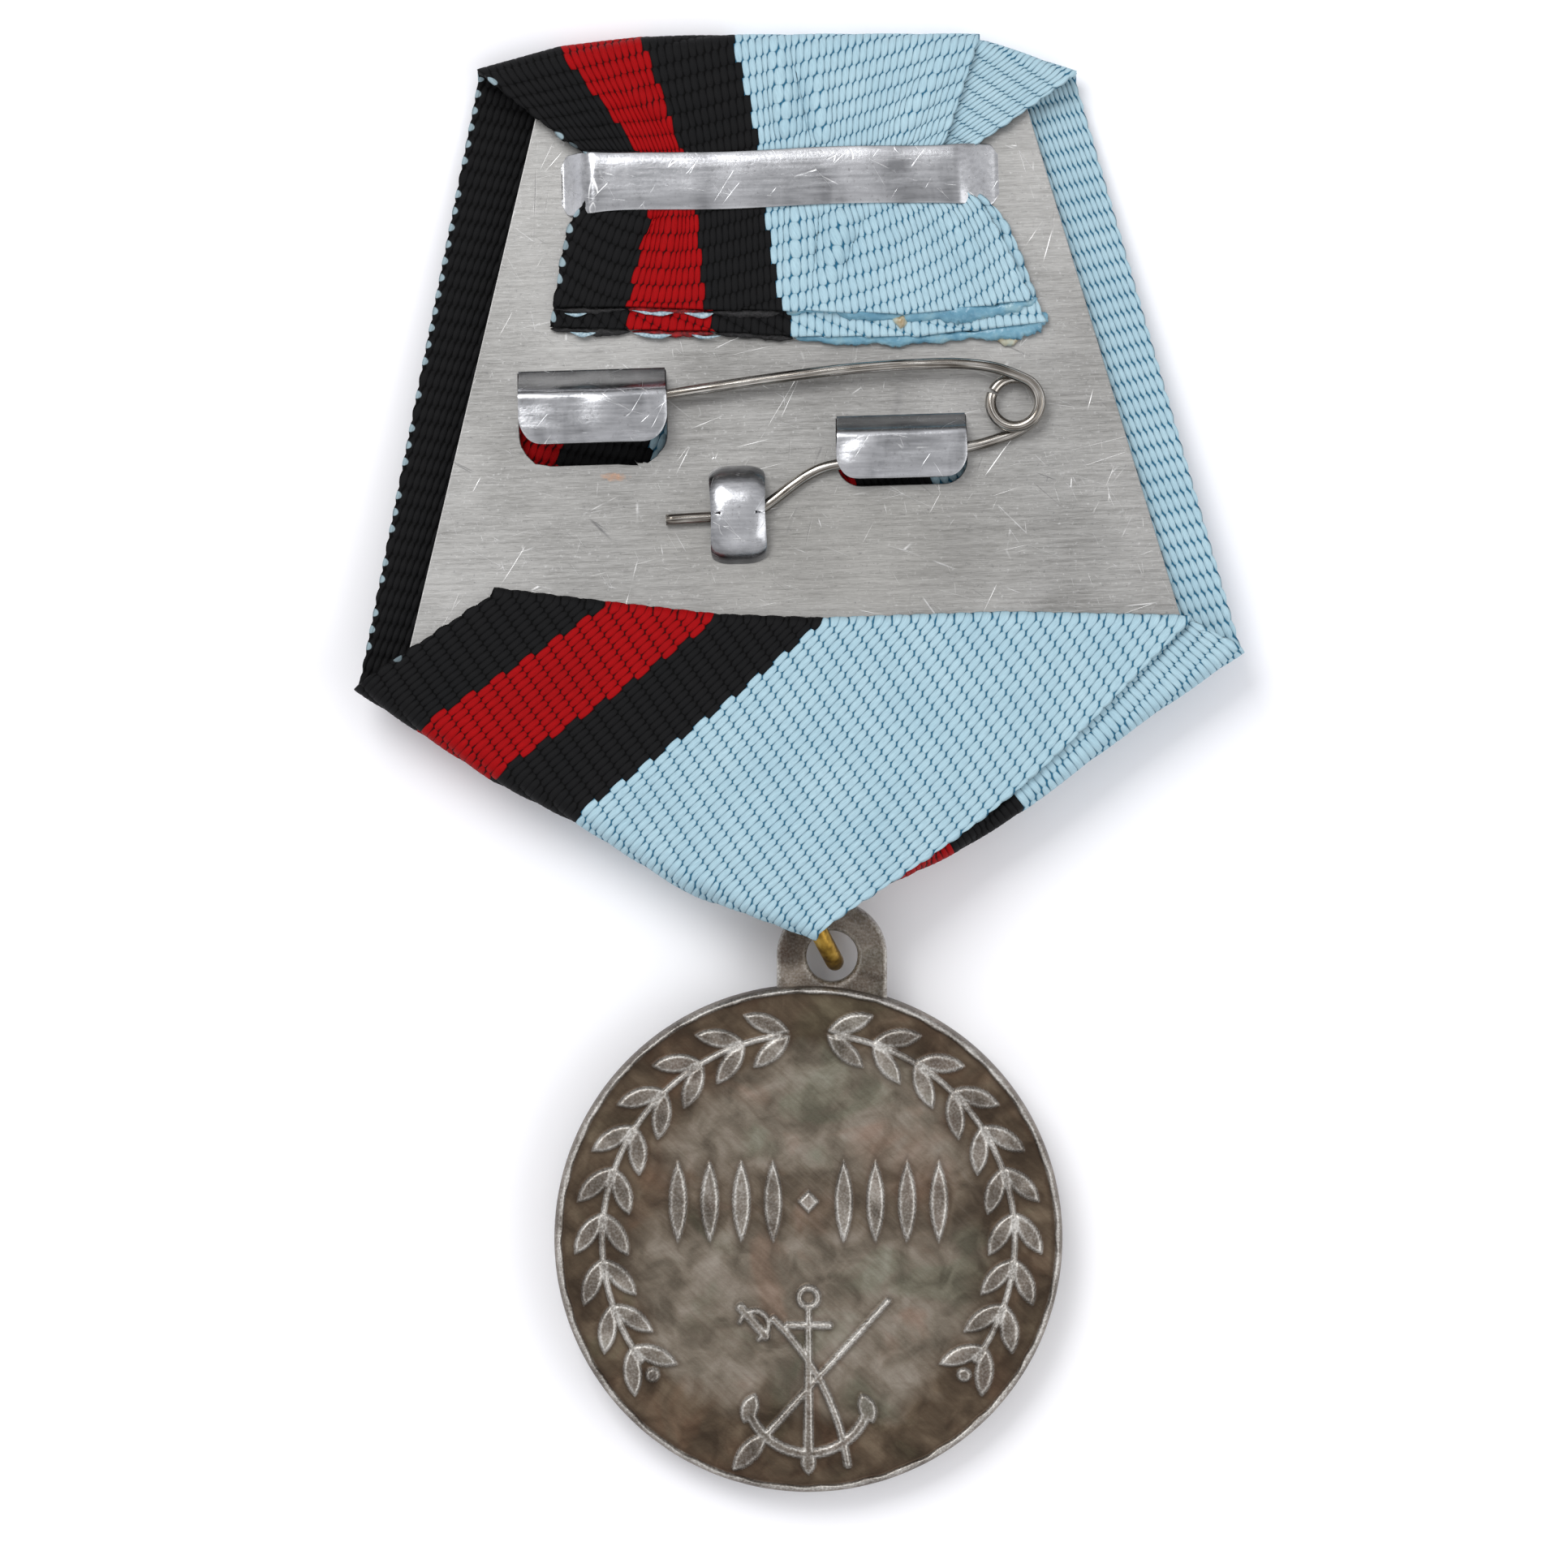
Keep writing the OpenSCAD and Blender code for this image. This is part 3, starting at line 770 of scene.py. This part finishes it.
def tab(name, spec, material):
    """A tongue sheared out of the plate and lifted, its free corners round."""
    (x0, x1), long, corner = spec["x"], spec["length"], spec["corner"]
    middle, half = (x0 + x1) / 2, (x1 - x0) / 2
    round_end = long - corner * (1 - np.sin(np.linspace(0.06, math.pi / 2, 16)))
    s = np.concatenate([np.linspace(0, long - corner, 40), round_end[:-1], [long]])
    turned = np.sqrt(np.maximum(0, 1 - ((s - long + corner) / corner) ** 2))
    shrink = np.where(s > long - corner, corner * (1 - turned), 0)
    s = s[:, None]
    width = (half - 0.03 - shrink)[:, None] * np.linspace(-1, 1, 49)
    z = SHEET_MID + (spec["gap"] + PLATE_T) * smoothstep(s, -0.15, spec["ramp"]) + 0 * width
    # its sides and end droop, and it is a little uneven
    z = z - 0.20 * (np.abs(width) / half) ** 6 * smoothstep(s, 0.5, 2)
    z = z - 0.22 * smoothstep(s, long - 1.1, long) ** 2
    uneven = 0.07 * np.sin(0.9 * width + spec["phase"]) + 0.03 * np.sin(2.1 * width)
    z = z + uneven * smoothstep(s, 1, 2)
    sheet_piece(name, np.stack([middle + width, spec["top"] - s + 0 * width, z], -1), material)


def keeper(material):
    """The narrow bridge that holds the pin's free leg."""
    s, u = np.linspace(0, 1, 60)[:, None], np.linspace(-1, 1, 25)
    from_middle = np.abs(2 * s - 1)
    hump = (1 - from_middle ** 2.8) ** 0.7
    waist = 0.97 + 0.06 * from_middle ** 2 - 0.2 * from_middle ** 14
    x = KEEPER_X + (KEEPER_W / 2) * waist * u
    y = KEEPER_Y[0] + (KEEPER_Y[1] - KEEPER_Y[0]) * s - 0.22 * u**4 * np.sign(s - 0.5)
    z = SHEET_MID + (KEEPER_GAP + PLATE_T) * hump - 0.2 * u**4 * hump
    sheet_piece("plate_keeper", np.stack([x, y, z], -1), material, BRIDGE_BEVEL)


def strap(material):
    """The long bridge over the ribbon's two ends, with softly bent feet."""
    x0, x1 = STRAP_X
    x, u = np.linspace(x0, x1, 160)[:, None], np.linspace(-1, 1, 21)
    lift = smoothstep(x, x0 + 0.15, x0 + 1.9) * smoothstep(-x, -x1 + 0.15, -x1 + 2.5)
    crown = 0.07 * np.sin((x - x0) / (x1 - x0) * math.pi)
    flare = 0.16 * (np.exp(-((x - x0 - 1) / 1.3) ** 2) + np.exp(-((x - x1 + 1) / 1.5) ** 2))
    from_middle = np.abs(2 * (x - x0) / (x1 - x0) - 1)
    half = STRAP_W / 2 + flare - 0.5 * smoothstep(from_middle, 0.95, 1.0)
    y = STRAP_Y + half * u + 0.06 * np.sin(x * 0.5)
    z = SHEET_MID + (STRAP_GAP + PLATE_T) * lift + crown - 0.13 * u**4 * lift
    sheet_piece("plate_strap", np.stack([x + 0 * u, y, z], -1), material, BRIDGE_BEVEL)


def catch_window():
    """The window behind the catch, its lower edge ragged where the metal was sheared."""
    x0, x1 = CATCH["x"]
    low = CATCH["top"] - PLATE_T - CATCH["window"]
    burr = x1 - 1.85
    line = [(x, y + 0.05 * math.sin(5 * x) + 0.03 * math.sin(13 * x) if y < low + 1 else y)
            for x, y in rounded_box(x0, x1, low, CATCH["top"], CATCH_CORNER, False)]
    line += [(burr + dx, low + dy)
             for dx, dy in ((-0.9, 0.02), (-0.25, -0.05), (0, 0.22), (0.2, -0.08), (0.5, 0.1))]
    return sorted(line, key=lambda p: -math.atan2(p[1] + 0.2, p[0] - (x0 + x1) / 2))


def plate():
    """The flat sheet with its windows, and the pieces lifted out of it."""
    material = plate_material()
    keeper_half = KEEPER_W / 2 - 0.05
    windows = [
        catch_window(),
        rounded_box(*GRIP["x"], GRIP["top"] - PLATE_T - GRIP["window"], GRIP["top"],
                    GRIP_CORNER, False),
        rounded_box(KEEPER_X - keeper_half, KEEPER_X + keeper_half,
                    KEEPER_Y[0] + 0.5, KEEPER_Y[1] - 0.5, SLOT_CORNER),
        rounded_box(STRAP_X[0] + 1.1, STRAP_X[1] - 1.0,
                    STRAP_Y - STRAP_W / 2, STRAP_Y + STRAP_W / 2, SLOT_CORNER),
        on_circle(HOLE_AT, HOLE_R, np.linspace(0, 360, 32, endpoint=False)),
    ]
    curve = bpy.data.curves.new("plate_outline", "CURVE")
    curve.dimensions, curve.fill_mode = "2D", "BOTH"
    curve.extrude, curve.bevel_depth = PLATE_T / 2 - SHEET_EDGE, SHEET_EDGE
    curve.bevel_resolution, curve.offset = 2, -SHEET_EDGE
    for line in [PLATE_OUTLINE] + windows:
        outline = curve.splines.new("POLY")
        outline.points.add(len(line) - 1)
        for point, (x, y) in zip(outline.points, line):
            point.co = (x, y, 0, 1)
        outline.use_cyclic_u = True
    drawn = linked("plate_drawn", curve)
    graph = bpy.context.evaluated_depsgraph_get()
    mesh = bpy.data.meshes.new_from_object(drawn.evaluated_get(graph))
    bpy.data.objects.remove(drawn)
    bpy.data.curves.remove(curve)
    places = np.array([v.co for v in mesh.vertices]) + [0, 0, SHEET_MID]
    places = block_to_world(plate_to_block(places)).astype(np.float32)
    mesh.vertices.foreach_set("co", places.ravel())
    mesh.materials.clear()
    mesh.materials.append(material)
    made = linked("plate_sheet", mesh)
    edit(mesh, merge_doubles, face_outward)
    mesh.shade_flat()
    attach(made, "suspension")
    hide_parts("backing_plate")
    pressed = pressed_material()
    tab("plate_catch_tab", CATCH, pressed)
    tab("plate_grip_tab", GRIP, pressed)
    keeper(pressed)
    strap(pressed)


def steel_material():
    """Drawn wire, streaked along its length."""
    metal = Material("pin_steel", Metallic=1.0)
    around, up, along = metal.attribute("wire")
    streak = metal.noise(metal.join(around * 5.0, up * 5.0, along * 0.35), 1.0, 3.0)
    dull = metal.plain(0.7, 3.0)
    tone = streak * 0.75 + dull * 0.25
    grey = tone.tones((0.36, 62, 56, 50), (0.48, 140, 134, 126), (0.62, 206, 203, 198))
    metal.set("Base Color", grey)
    metal.set("Roughness", streak * 0.12 + 0.1)
    metal.bump(streak, 0.02, 0.5)
    return metal.data


PIN_D, POINT_R = 0.62, 0.03
SLACK = 0.05
LEG_Z = PLATE_T + SLACK + PIN_D / 2
COIL_RISE = PIN_D + SLACK
COIL_AT, COIL_R = (12.45, -0.35), 1.36
COIL_START, COIL_SPLIT, COIL_END = -50, 150, 430


def coil(first, last):
    """The coil's middle line between two angles in degrees."""
    angles = range(first, last + 1, 10)
    return [(*at, LEG_Z + COIL_RISE * (a - COIL_START) / 360)
            for a, at in zip(angles, on_circle(COIL_AT, COIL_R, angles))]


def tube(name, line, radii, material, body, node, sides=16):
    """A round wire along a smooth line of plate places in mm, with a radius at each point."""
    line, radii = spline(line, len(line) * 8), spline(radii, len(radii) * 8)
    way = unit(np.gradient(line, axis=0))
    side = unit(np.cross(UP, way))
    up = np.cross(way, side)
    angle = circle(sides)
    ring = np.cos(angle)[None, :, None] * side[:, None] + np.sin(angle)[None, :, None] * up[:, None]
    points = (line[:, None] + ring * radii[:, None, None]).reshape(-1, 3)
    points = np.concatenate([points, line[:1], line[-1:]])
    count = len(line)
    faces = wrapped_faces(count, sides).tolist()
    last = (count - 1) * sides
    for j in range(sides):
        k = (j + 1) % sides
        faces += [(count * sides, j, k), (count * sides + 1, last + k, last + j)]
    made = linked(name, bpy.data.meshes.new(name))
    made.data.from_pydata(block_to_world(plate_to_block(points)).tolist(), [], faces)
    made.data.shade_smooth()
    made.data.materials.append(material)
    lengths = np.concatenate([[0], np.cumsum(np.linalg.norm(np.diff(line, axis=0), axis=1))])
    grain = np.stack([np.tile(np.cos(angle), count), np.tile(np.sin(angle), count),
                      np.repeat(lengths, sides)], -1)
    add_attribute(made, "wire", np.concatenate([grain, [[0, 0, 0], [0, 0, lengths[-1]]]]))
    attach(made, body)
    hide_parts(node)


def pin():
    """The pin's one wire, in two pieces that meet inside its coil."""
    steel = steel_material()
    leg = [(-7, -6.25), (-4, -6.15), (-2.4, -6.05), (-1.5, -5.65), (0.1, -4.5), (1.2, -3.85),
           (2.3, -3.5), (4.2, -3.3), (7, -3.05), (9.8, -2.7), (11.3, -2.35), (12.5, -1.95)]
    fixed = [(x, y, LEG_Z) for x, y in leg[:-1]] + [(*leg[-1], LEG_Z - 0.035)]
    fixed += coil(COIL_START, COIL_SPLIT)
    radii = [PIN_D / 2] * len(fixed)
    tube("pin_leg_wire", fixed, radii, steel, "suspension", "pin_spring")
    top = LEG_Z + COIL_RISE * (COIL_END - COIL_START) / 360
    arm = [(12.3, 1.22, 0), (11.2, 1.6, 0), (9.6, 1.83, 0), (8, 1.88, 0.02), (5, 1.82, 0.06),
           (1.9, 1.62, 0.1), (-2.5, 1.15, 0.15), (-6.9, 0.6, 0.2), (-12.4, -0.15, 0.25)]
    sprung = coil(COIL_SPLIT + 8, COIL_END) + [(x, y, top - sink) for x, y, sink in arm]
    radii = [PIN_D / 2] * (len(sprung) - 2) + [PIN_D / 2 * 0.9, POINT_R]
    tube("pin_needle_wire", sprung, radii, steel, "needle", "pin_needle")


RING_R, RING_WIRE_R, RING_TURN = 2.5, 0.5, math.radians(-62)


def ring():
    """The brass ring."""
    metal = Material("ring_brass", Metallic=1.0)
    tarnish = metal.plain(1.6, 4.0)
    brass = tarnish.tones((0.3, 104, 78, 30), (0.55, 172, 138, 62), (0.75, 206, 176, 98))
    metal.set("Base Color", brass)
    metal.set("Roughness", tarnish * 0.3 + 0.2)
    metal.bump(metal.plain(6.0, 3.0), 0.03, 0.5)
    steps, sides = 120, 28
    a, b = np.meshgrid(circle(steps), circle(sides), indexing="ij")
    r = RING_R + RING_WIRE_R * np.cos(b)
    u, v, n = r * np.cos(a), r * np.sin(a), RING_WIRE_R * np.sin(b)
    c, s = math.cos(RING_TURN), math.sin(RING_TURN)
    points = np.stack([u * c + n * s, u * s - n * c, v], -1) + RING_MID
    faces = wrapped_faces(steps, sides, True)
    made = mesh_object("ring_wire_loop", points.reshape(-1, 3) * MM, faces)
    made.data.materials.append(metal.data)
    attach(made, "ring")
    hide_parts("suspension_ring")


# ---------------------------------------------------------------- medal
DISC_R, DISC_T, RIM_W, RIM_H, RELIEF_H = 14.0, 2.6, 0.33, 0.24, 0.26
MEDAL_TILT = math.radians(2.5)
DISC_X, DISC_LOW = 0.55, -40.05
LUG_AT, LUG_R, LUG_HOLE_R, LUG_T = (1.3, 15.65), 3.05, 1.42, 1.5
LUG_CORNER, SHOULDER_R = 0.26, 4.2
FIELD_R, FACE_SIDES, WALL_RINGS, WALL_CROWN = 13.3, 840, 7, 0.004
LAUREL_R, STEM_HALF, LEAVES = 11.4, 0.14, 10
LEAF_LENGTH, LEAF_WIDTH, BERRY_R = 2.65, 0.98, 0.38
ROW_X = (-7.2, -5.45, -3.7, -1.95, 1.95, 3.7, 5.45, 7.2)
ROW_Y = 2.1


def medal_to_world(p):
    """Places of the disc, in mm from its middle, as places in metres."""
    p = np.asarray(p, float)
    c, s = math.cos(MEDAL_TILT), math.sin(MEDAL_TILT)
    y = p[..., 1] + DISC_R
    x, z = p[..., 0], p[..., 2]
    return np.stack([DISC_X + x, DISC_LOW + y * c - z * s, y * s + z * c], -1) * MM





def bar(x, y, start, end, half, end_half=None):
    """Distance from a straight bar that may taper."""
    dx, dy = end[0] - start[0], end[1] - start[1]
    long = math.hypot(dx, dy)
    u, v = to_frame(x, y, start, math.atan2(dy, dx))
    f = np.clip(u / long, 0, 1)
    width = half + ((end_half if end_half is not None else half) - half) * f
    return np.hypot(u - f * long, v) - width


def leaf(x, y, at, turn, length, width):
    """Distance from a pointed leaf made of two arcs, roughly."""
    u, v = to_frame(x, y, at, turn)
    r = (length**2 / 4 + width**2 / 4) / width
    return np.maximum(np.hypot(u, v - (r - width / 2)), np.hypot(u, v + (r - width / 2))) - r


def arc(x, y, at, radius, first, last, half):
    """Distance from a curved bar between two angles in degrees."""
    u, v = x - at[0], y - at[1]
    middle = math.radians((first + last) / 2)
    spread = math.radians((last - first) / 2)
    off = (np.arctan2(v, u) - middle + math.pi) % (2 * math.pi) - math.pi
    off = np.clip(off, -spread, spread) + middle
    return np.hypot(u - radius * np.cos(off), v - radius * np.sin(off)) - half


def laurel(x, y):
    """Distances from the parts of two branches round the edge, open at the top and the foot."""
    parts = []
    for side, stem in ((-1, (-36, 82)), (1, (98, 216))):
        parts.append(arc(x, y, (0, 0), LAUREL_R, *stem, STEM_HALF))
        for k in range(LEAVES):
            angle = math.radians(90 + side * (11 + k * 12.9))
            for lean, offset in ((-31, 0.78), (31, -0.78)):
                r = LAUREL_R + offset
                at = (r * math.cos(angle), r * math.sin(angle))
                turn = angle - side * (math.pi / 2) + side * math.radians(lean)
                parts.append(leaf(x, y, at, turn, LEAF_LENGTH, LEAF_WIDTH))
        foot = on_circle((0, 0), LAUREL_R, [90 + side * 131])[0]
        parts.append(np.hypot(x - foot[0], y - foot[1]) - BERRY_R)
    return parts


def back_relief(x, y):
    """Distance from the nearest device on the back."""
    parts = laurel(x, y)
    for px in ROW_X:
        parts.append(leaf(x, y, (px, ROW_Y), math.pi / 2, 4.5, 0.95))
    u, v = to_frame(x, y, (0, ROW_Y), math.pi / 4)
    parts += [
        np.maximum(np.abs(u), np.abs(v)) - 0.42,
        # anchor: shank, stock, ring, arms, crown and flukes
        bar(x, y, (0, -3.7), (0, -11.9), 0.17, 0.28),
        bar(x, y, (-1.15, -4.75), (1.15, -4.75), 0.19),
        arc(x, y, (0, -3.2), 0.52, 0, 359.9, 0.17),
        arc(x, y, (0, -8.4), 3.45, 203, 337, 0.27),
        leaf(x, y, (0, -12.3), math.pi / 2, 1.4, 0.8),
        leaf(x, y, (-3.25, -9.35), math.radians(68), 1.7, 0.95),
        leaf(x, y, (3.25, -9.35), math.radians(112), 1.7, 0.95),
        # sabre: blade, guard and grip
        arc(x, y, (-11.6, -14.4), 13.9, 8, 46, 0.2),
        arc(x, y, (-3.0, -4.75), 0.8, -70, 165, 0.14),
        bar(x, y, (-3.75, -3.75), (-2.35, -5.35), 0.24),
        # oar: loom and blade
        bar(x, y, (4.4, -3.4), (-2.4, -10.9), 0.15, 0.2),
        leaf(x, y, (-3.25, -11.75), math.radians(48), 2.8, 1.05),
    ]
    return np.minimum.reduce(parts)


def front_relief(x, y):
    """Distance from a plain star in a wreath, on the face that lies down."""
    point = math.pi / 5
    angle = np.arctan2(x, y) % (2 * point) - point
    r = np.hypot(x, y)
    star = r * np.cos(angle - np.sign(angle) * 0.94) * 1.35 - 4.4 + r * 0.12
    return np.minimum.reduce(laurel(x, y) + [star])


def face(relief, seed):
    """One face of the disc: points, and how each is worn, hollow or near an edge."""
    rings = np.concatenate([np.linspace(0.04, FIELD_R, 134), np.linspace(FIELD_R + 0.06, DISC_R, 20)])
    r, a = np.meshgrid(rings, circle(FACE_SIDES), indexing="ij")
    x, y = r * np.cos(a), r * np.sin(a)
    distance = relief(x, y)
    raised = 1 - smoothstep(distance, -0.11, 0.07)
    draws = np.random.default_rng(seed)
    waves = sum(draws.normal(0, 0.012) * np.sin(k * a + draws.uniform(0, 6))
                for k in (3, 7, 16, 37, 61))
    inner = DISC_R - RIM_W
    rim = smoothstep(r, inner - 0.11 + waves * 1.4, inner + 0.08 + waves * 1.4)
    eased = 0.10 * smoothstep(r, DISC_R - 0.22, DISC_R - 0.1)
    eased += 0.22 * smoothstep(r, DISC_R - 0.14, DISC_R) ** 2
    sag = 0.05 * (1 - (r / DISC_R) ** 2)
    z = DISC_T / 2 - RIM_H - eased
    z += (RELIEF_H * raised - sag) * (1 - rim) + (RIM_H - 0.05 + waves) * rim
    crevice = np.maximum(np.exp(-(np.maximum(distance - 0.04, 0) / 0.17) ** 2) * (1 - raised),
                         np.exp(-((r - inner + 0.12) / 0.14) ** 2))
    edges = np.maximum(np.exp(-((distance + 0.07) / 0.08) ** 2),
                       np.exp(-((r - inner - 0.1) / 0.1) ** 2))
    return np.stack([x, y, z], -1), np.stack([np.maximum(raised, rim), crevice, edges], -1)


def medal():
    """The struck disc and its lug."""
    top, top_wear = face(back_relief, 3)
    under, under_wear = face(front_relief, 4)
    under = under * [1, 1, -1]
    top[..., 2] += DISC_T / 2
    under[..., 2] += DISC_T / 2
    rows, cols = top.shape[:2]
    count = rows * cols
    # the side wall between the two faces, a little crowned
    wall = []
    for f in np.linspace(0, 1, WALL_RINGS + 2)[1:-1]:
        crown = 1 + WALL_CROWN * math.sin(math.pi * f)
        wall.append((top[-1] * (1 - f) + under[-1] * f) * [crown, crown, 1])
    wall_wear = np.tile([0.35, 0.3, 0.1], (len(wall) * cols, 1))
    faces = [wrapped_faces(rows, cols), wrapped_faces(rows, cols)[:, ::-1] + count]
    j = np.arange(cols)
    k = (j + 1) % cols
    starts = [count - cols, *(2 * count + i * cols for i in range(len(wall))), 2 * count - cols]
    faces += [np.stack([a + j, b + j, b + k, a + k], -1) for a, b in zip(starts, starts[1:])]
    lug_points, lug_faces, lug_wear = lug()
    points = [p.reshape(-1, 3) for p in (top, under, np.array(wall))]
    faces.append(lug_faces + sum(map(len, points)))
    points = np.concatenate(points + [lug_points])
    made = mesh_object("medal_struck_disc", medal_to_world(points), np.concatenate(faces))
    add_attribute(made, "wear", np.concatenate(
        [top_wear.reshape(-1, 3), under_wear.reshape(-1, 3), wall_wear, lug_wear]))
    edit(made.data, fill_holes, face_outward)
    made.data.materials.append(medal_material())
    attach(made, "medal")
    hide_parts("medal_disc")


def lug():
    """The lug: a flat ring whose foot runs into the disc's rim."""
    section = np.array(rounded_box(LUG_HOLE_R, LUG_R, -LUG_T / 2, LUG_T / 2, LUG_CORNER, step=22))
    angle = circle(160)[:, None]
    # the outer wall widens towards the disc to make the two shoulders
    shoulder = np.minimum(LUG_R / np.maximum(np.abs(np.cos(angle)), 0.35), SHOULDER_R)
    outer = np.where(np.sin(angle) < 0, shoulder, LUG_R)
    share = (section[:, 0] - LUG_HOLE_R) / (LUG_R - LUG_HOLE_R)
    radius = LUG_HOLE_R + share * (outer - LUG_HOLE_R)
    points = np.stack([LUG_AT[0] + radius * np.cos(angle), LUG_AT[1] + radius * np.sin(angle),
                       np.broadcast_to(section[:, 1] + DISC_T / 2, radius.shape)], -1)
    from_middle = np.abs(share - 0.5) * 2
    wear = np.stack(np.broadcast_arrays(0.05 + 0.6 * from_middle**3, 0.1 + 0 * radius,
                                        1.2 * from_middle**5), -1)
    return points.reshape(-1, 3), wrapped_faces(*radius.shape, True), wear.reshape(-1, 3)


def medal_material():
    """Toned silver, rubbed bright on whatever stands up."""
    metal = Material("patinated_silver", Metallic=0.8)
    worn, crevice, edges = metal.attribute("wear")
    x, y, _ = metal.split(metal.place())
    x, y = x - DISC_X, y - (DISC_LOW + DISC_R)
    cloud = metal.plain(0.16, 4.0, 0.4)
    mottle = metal.plain(0.55, 6.0, 0.5)
    grain = metal.plain(8.0, 4.0)
    hue = metal.plain(0.2, 3.0, 0.8)
    hatch = metal.noise(metal.place((0.5, 5.0, 1.0), 0.75), 1.0, 3.0)
    # cleaner, greyer silver inside the wreath, and browner round it and behind the middle row
    radius = (x * x + y * y).math("SQRT")
    inside = (radius * -0.5 + 5.4 + (cloud - 0.5) * 3.2).clamp()
    row_y = y - ROW_Y
    behind_row = (row_y * row_y * -0.16 + 1.0 + (hatch - 0.5) * 2.2).clamp()
    grey_part = (inside * (behind_row * -0.75 + 1.0) * (cloud * 1.4 + 0.25)).clamp()
    brown = mottle.tones((0.34, 62, 51, 40), (0.52, 86, 73, 59), (0.70, 110, 96, 80))
    silver = mottle.tones((0.34, 96, 88, 77), (0.52, 124, 115, 103), (0.72, 150, 142, 132))
    hatching = hatch.ramp([(0.35, (0.90, 0.87, 0.85)), (0.6, (1.03, 1.03, 1.02))])
    blush = hue.ramp([(0.34, (1.04, 0.90, 0.86)), (0.46, (1, 1, 1)), (0.56, (1, 1, 1)),
                      (0.66, (0.90, 0.99, 0.95))])
    field = metal.mix(1.0, metal.mix(grey_part, brown, silver), hatching, "MULTIPLY")
    field = metal.mix(1.0, field, blush, "MULTIPLY")
    hollows = (crevice * 0.5 * (mottle * 1.2 + 0.2)).clamp()
    dark = metal.mix(hollows, field, srgb(56, 42, 33))
    shine = grain * 0.6 + mottle * 0.6
    bright = shine.tones((0.42, 128, 121, 114), (0.6, 170, 166, 160), (0.74, 205, 202, 197))
    polish = ((worn * 0.42 + edges * 1.2) * (grain * 0.9 + mottle * 0.9 - 0.1) - 0.06).clamp()
    metal.set("Base Color", metal.mix(polish, dark, bright))
    metal.set("Roughness", (grain * 0.2 + mottle * 0.2 + 0.32 - worn * 0.1).clamp())
    metal.bump(grain * 0.8 + mottle * 0.7 + hatch * 0.12, 0.035, 0.7)
    return metal.data


# ---------------------------------------------------------------- stage, light and camera
def stage():
    """The sheet of paper under the object."""
    corners = [(-3, -3, 0), (3, -3, 0), (3, 3, 0), (-3, 3, 0)]
    floor = mesh_object("floor", corners, [(0, 1, 2, 3)], smooth=False)
    paper = Material("floor_paper", Roughness=0.9)
    tint = paper.plain(0.02, 2.0).tones((0.3, 246, 246, 250), (0.7, 252, 252, 254))
    paper.set("Base Color", tint)
    floor.data.materials.append(paper.data)


def lamp(name, at, size, power):
    """A square soft light that faces the object."""
    light = bpy.data.lights.new(name, "AREA")
    light.size, light.energy = size, power
    made = linked(name, light)
    made.location = at
    made.rotation_euler = (-Vector(at)).to_track_quat("-Z", "Y").to_euler()


def camera():
    """Straight above, far enough away for a nearly flat view."""
    view_w, distance, sensor = 0.0866, 0.6, 36
    data = bpy.data.cameras.new("camera")
    data.sensor_width, data.lens = sensor, sensor * distance / view_w
    data.clip_start, data.clip_end = 0.01, 10
    made = linked("camera", data)
    made.location = (-0.0008, -0.0010, distance + 0.003)
    bpy.context.scene.camera = made


def studio():
    """A white tent, darker low down to the north where the room shows in the metal."""
    world = bpy.data.worlds.new("studio")
    bpy.context.scene.world = world
    world.use_nodes = True
    tree = world.node_tree
    texture = tree.nodes.new("ShaderNodeTexCoord")
    axes = tree.nodes.new("ShaderNodeSeparateXYZ")
    tree.links.new(texture.outputs["Generated"], axes.inputs[0])
    x, y, z = (Node(tree, output) for output in axes.outputs)
    low = (z * -2.6 + 1.5).clamp()
    north = (y * 1.8 - 0.35).clamp()
    south = (y * -1.8 - 0.7).clamp()
    above = ((z - 0.86) * 9.0).clamp()
    bright = (low * (north * 0.92 + south * 0.55) * -1.0 + 1.0) * (above * -0.28 + 1.0)
    background = tree.nodes["Background"]
    background.inputs["Color"].default_value = (0.98, 0.98, 1.0, 1)
    tree.links.new((bright * 0.86).socket, background.inputs["Strength"])
    lamp("key", (-0.25, 0.35, 0.55), 0.35, 2.3)
    lamp("fill", (0.45, -0.1, 0.4), 0.4, 0.8)
    bpy.context.scene.view_settings.view_transform = "Standard"


ribbon()
cut_ends()
plate()
pin()
ring()
medal()
stage()
camera()
studio()
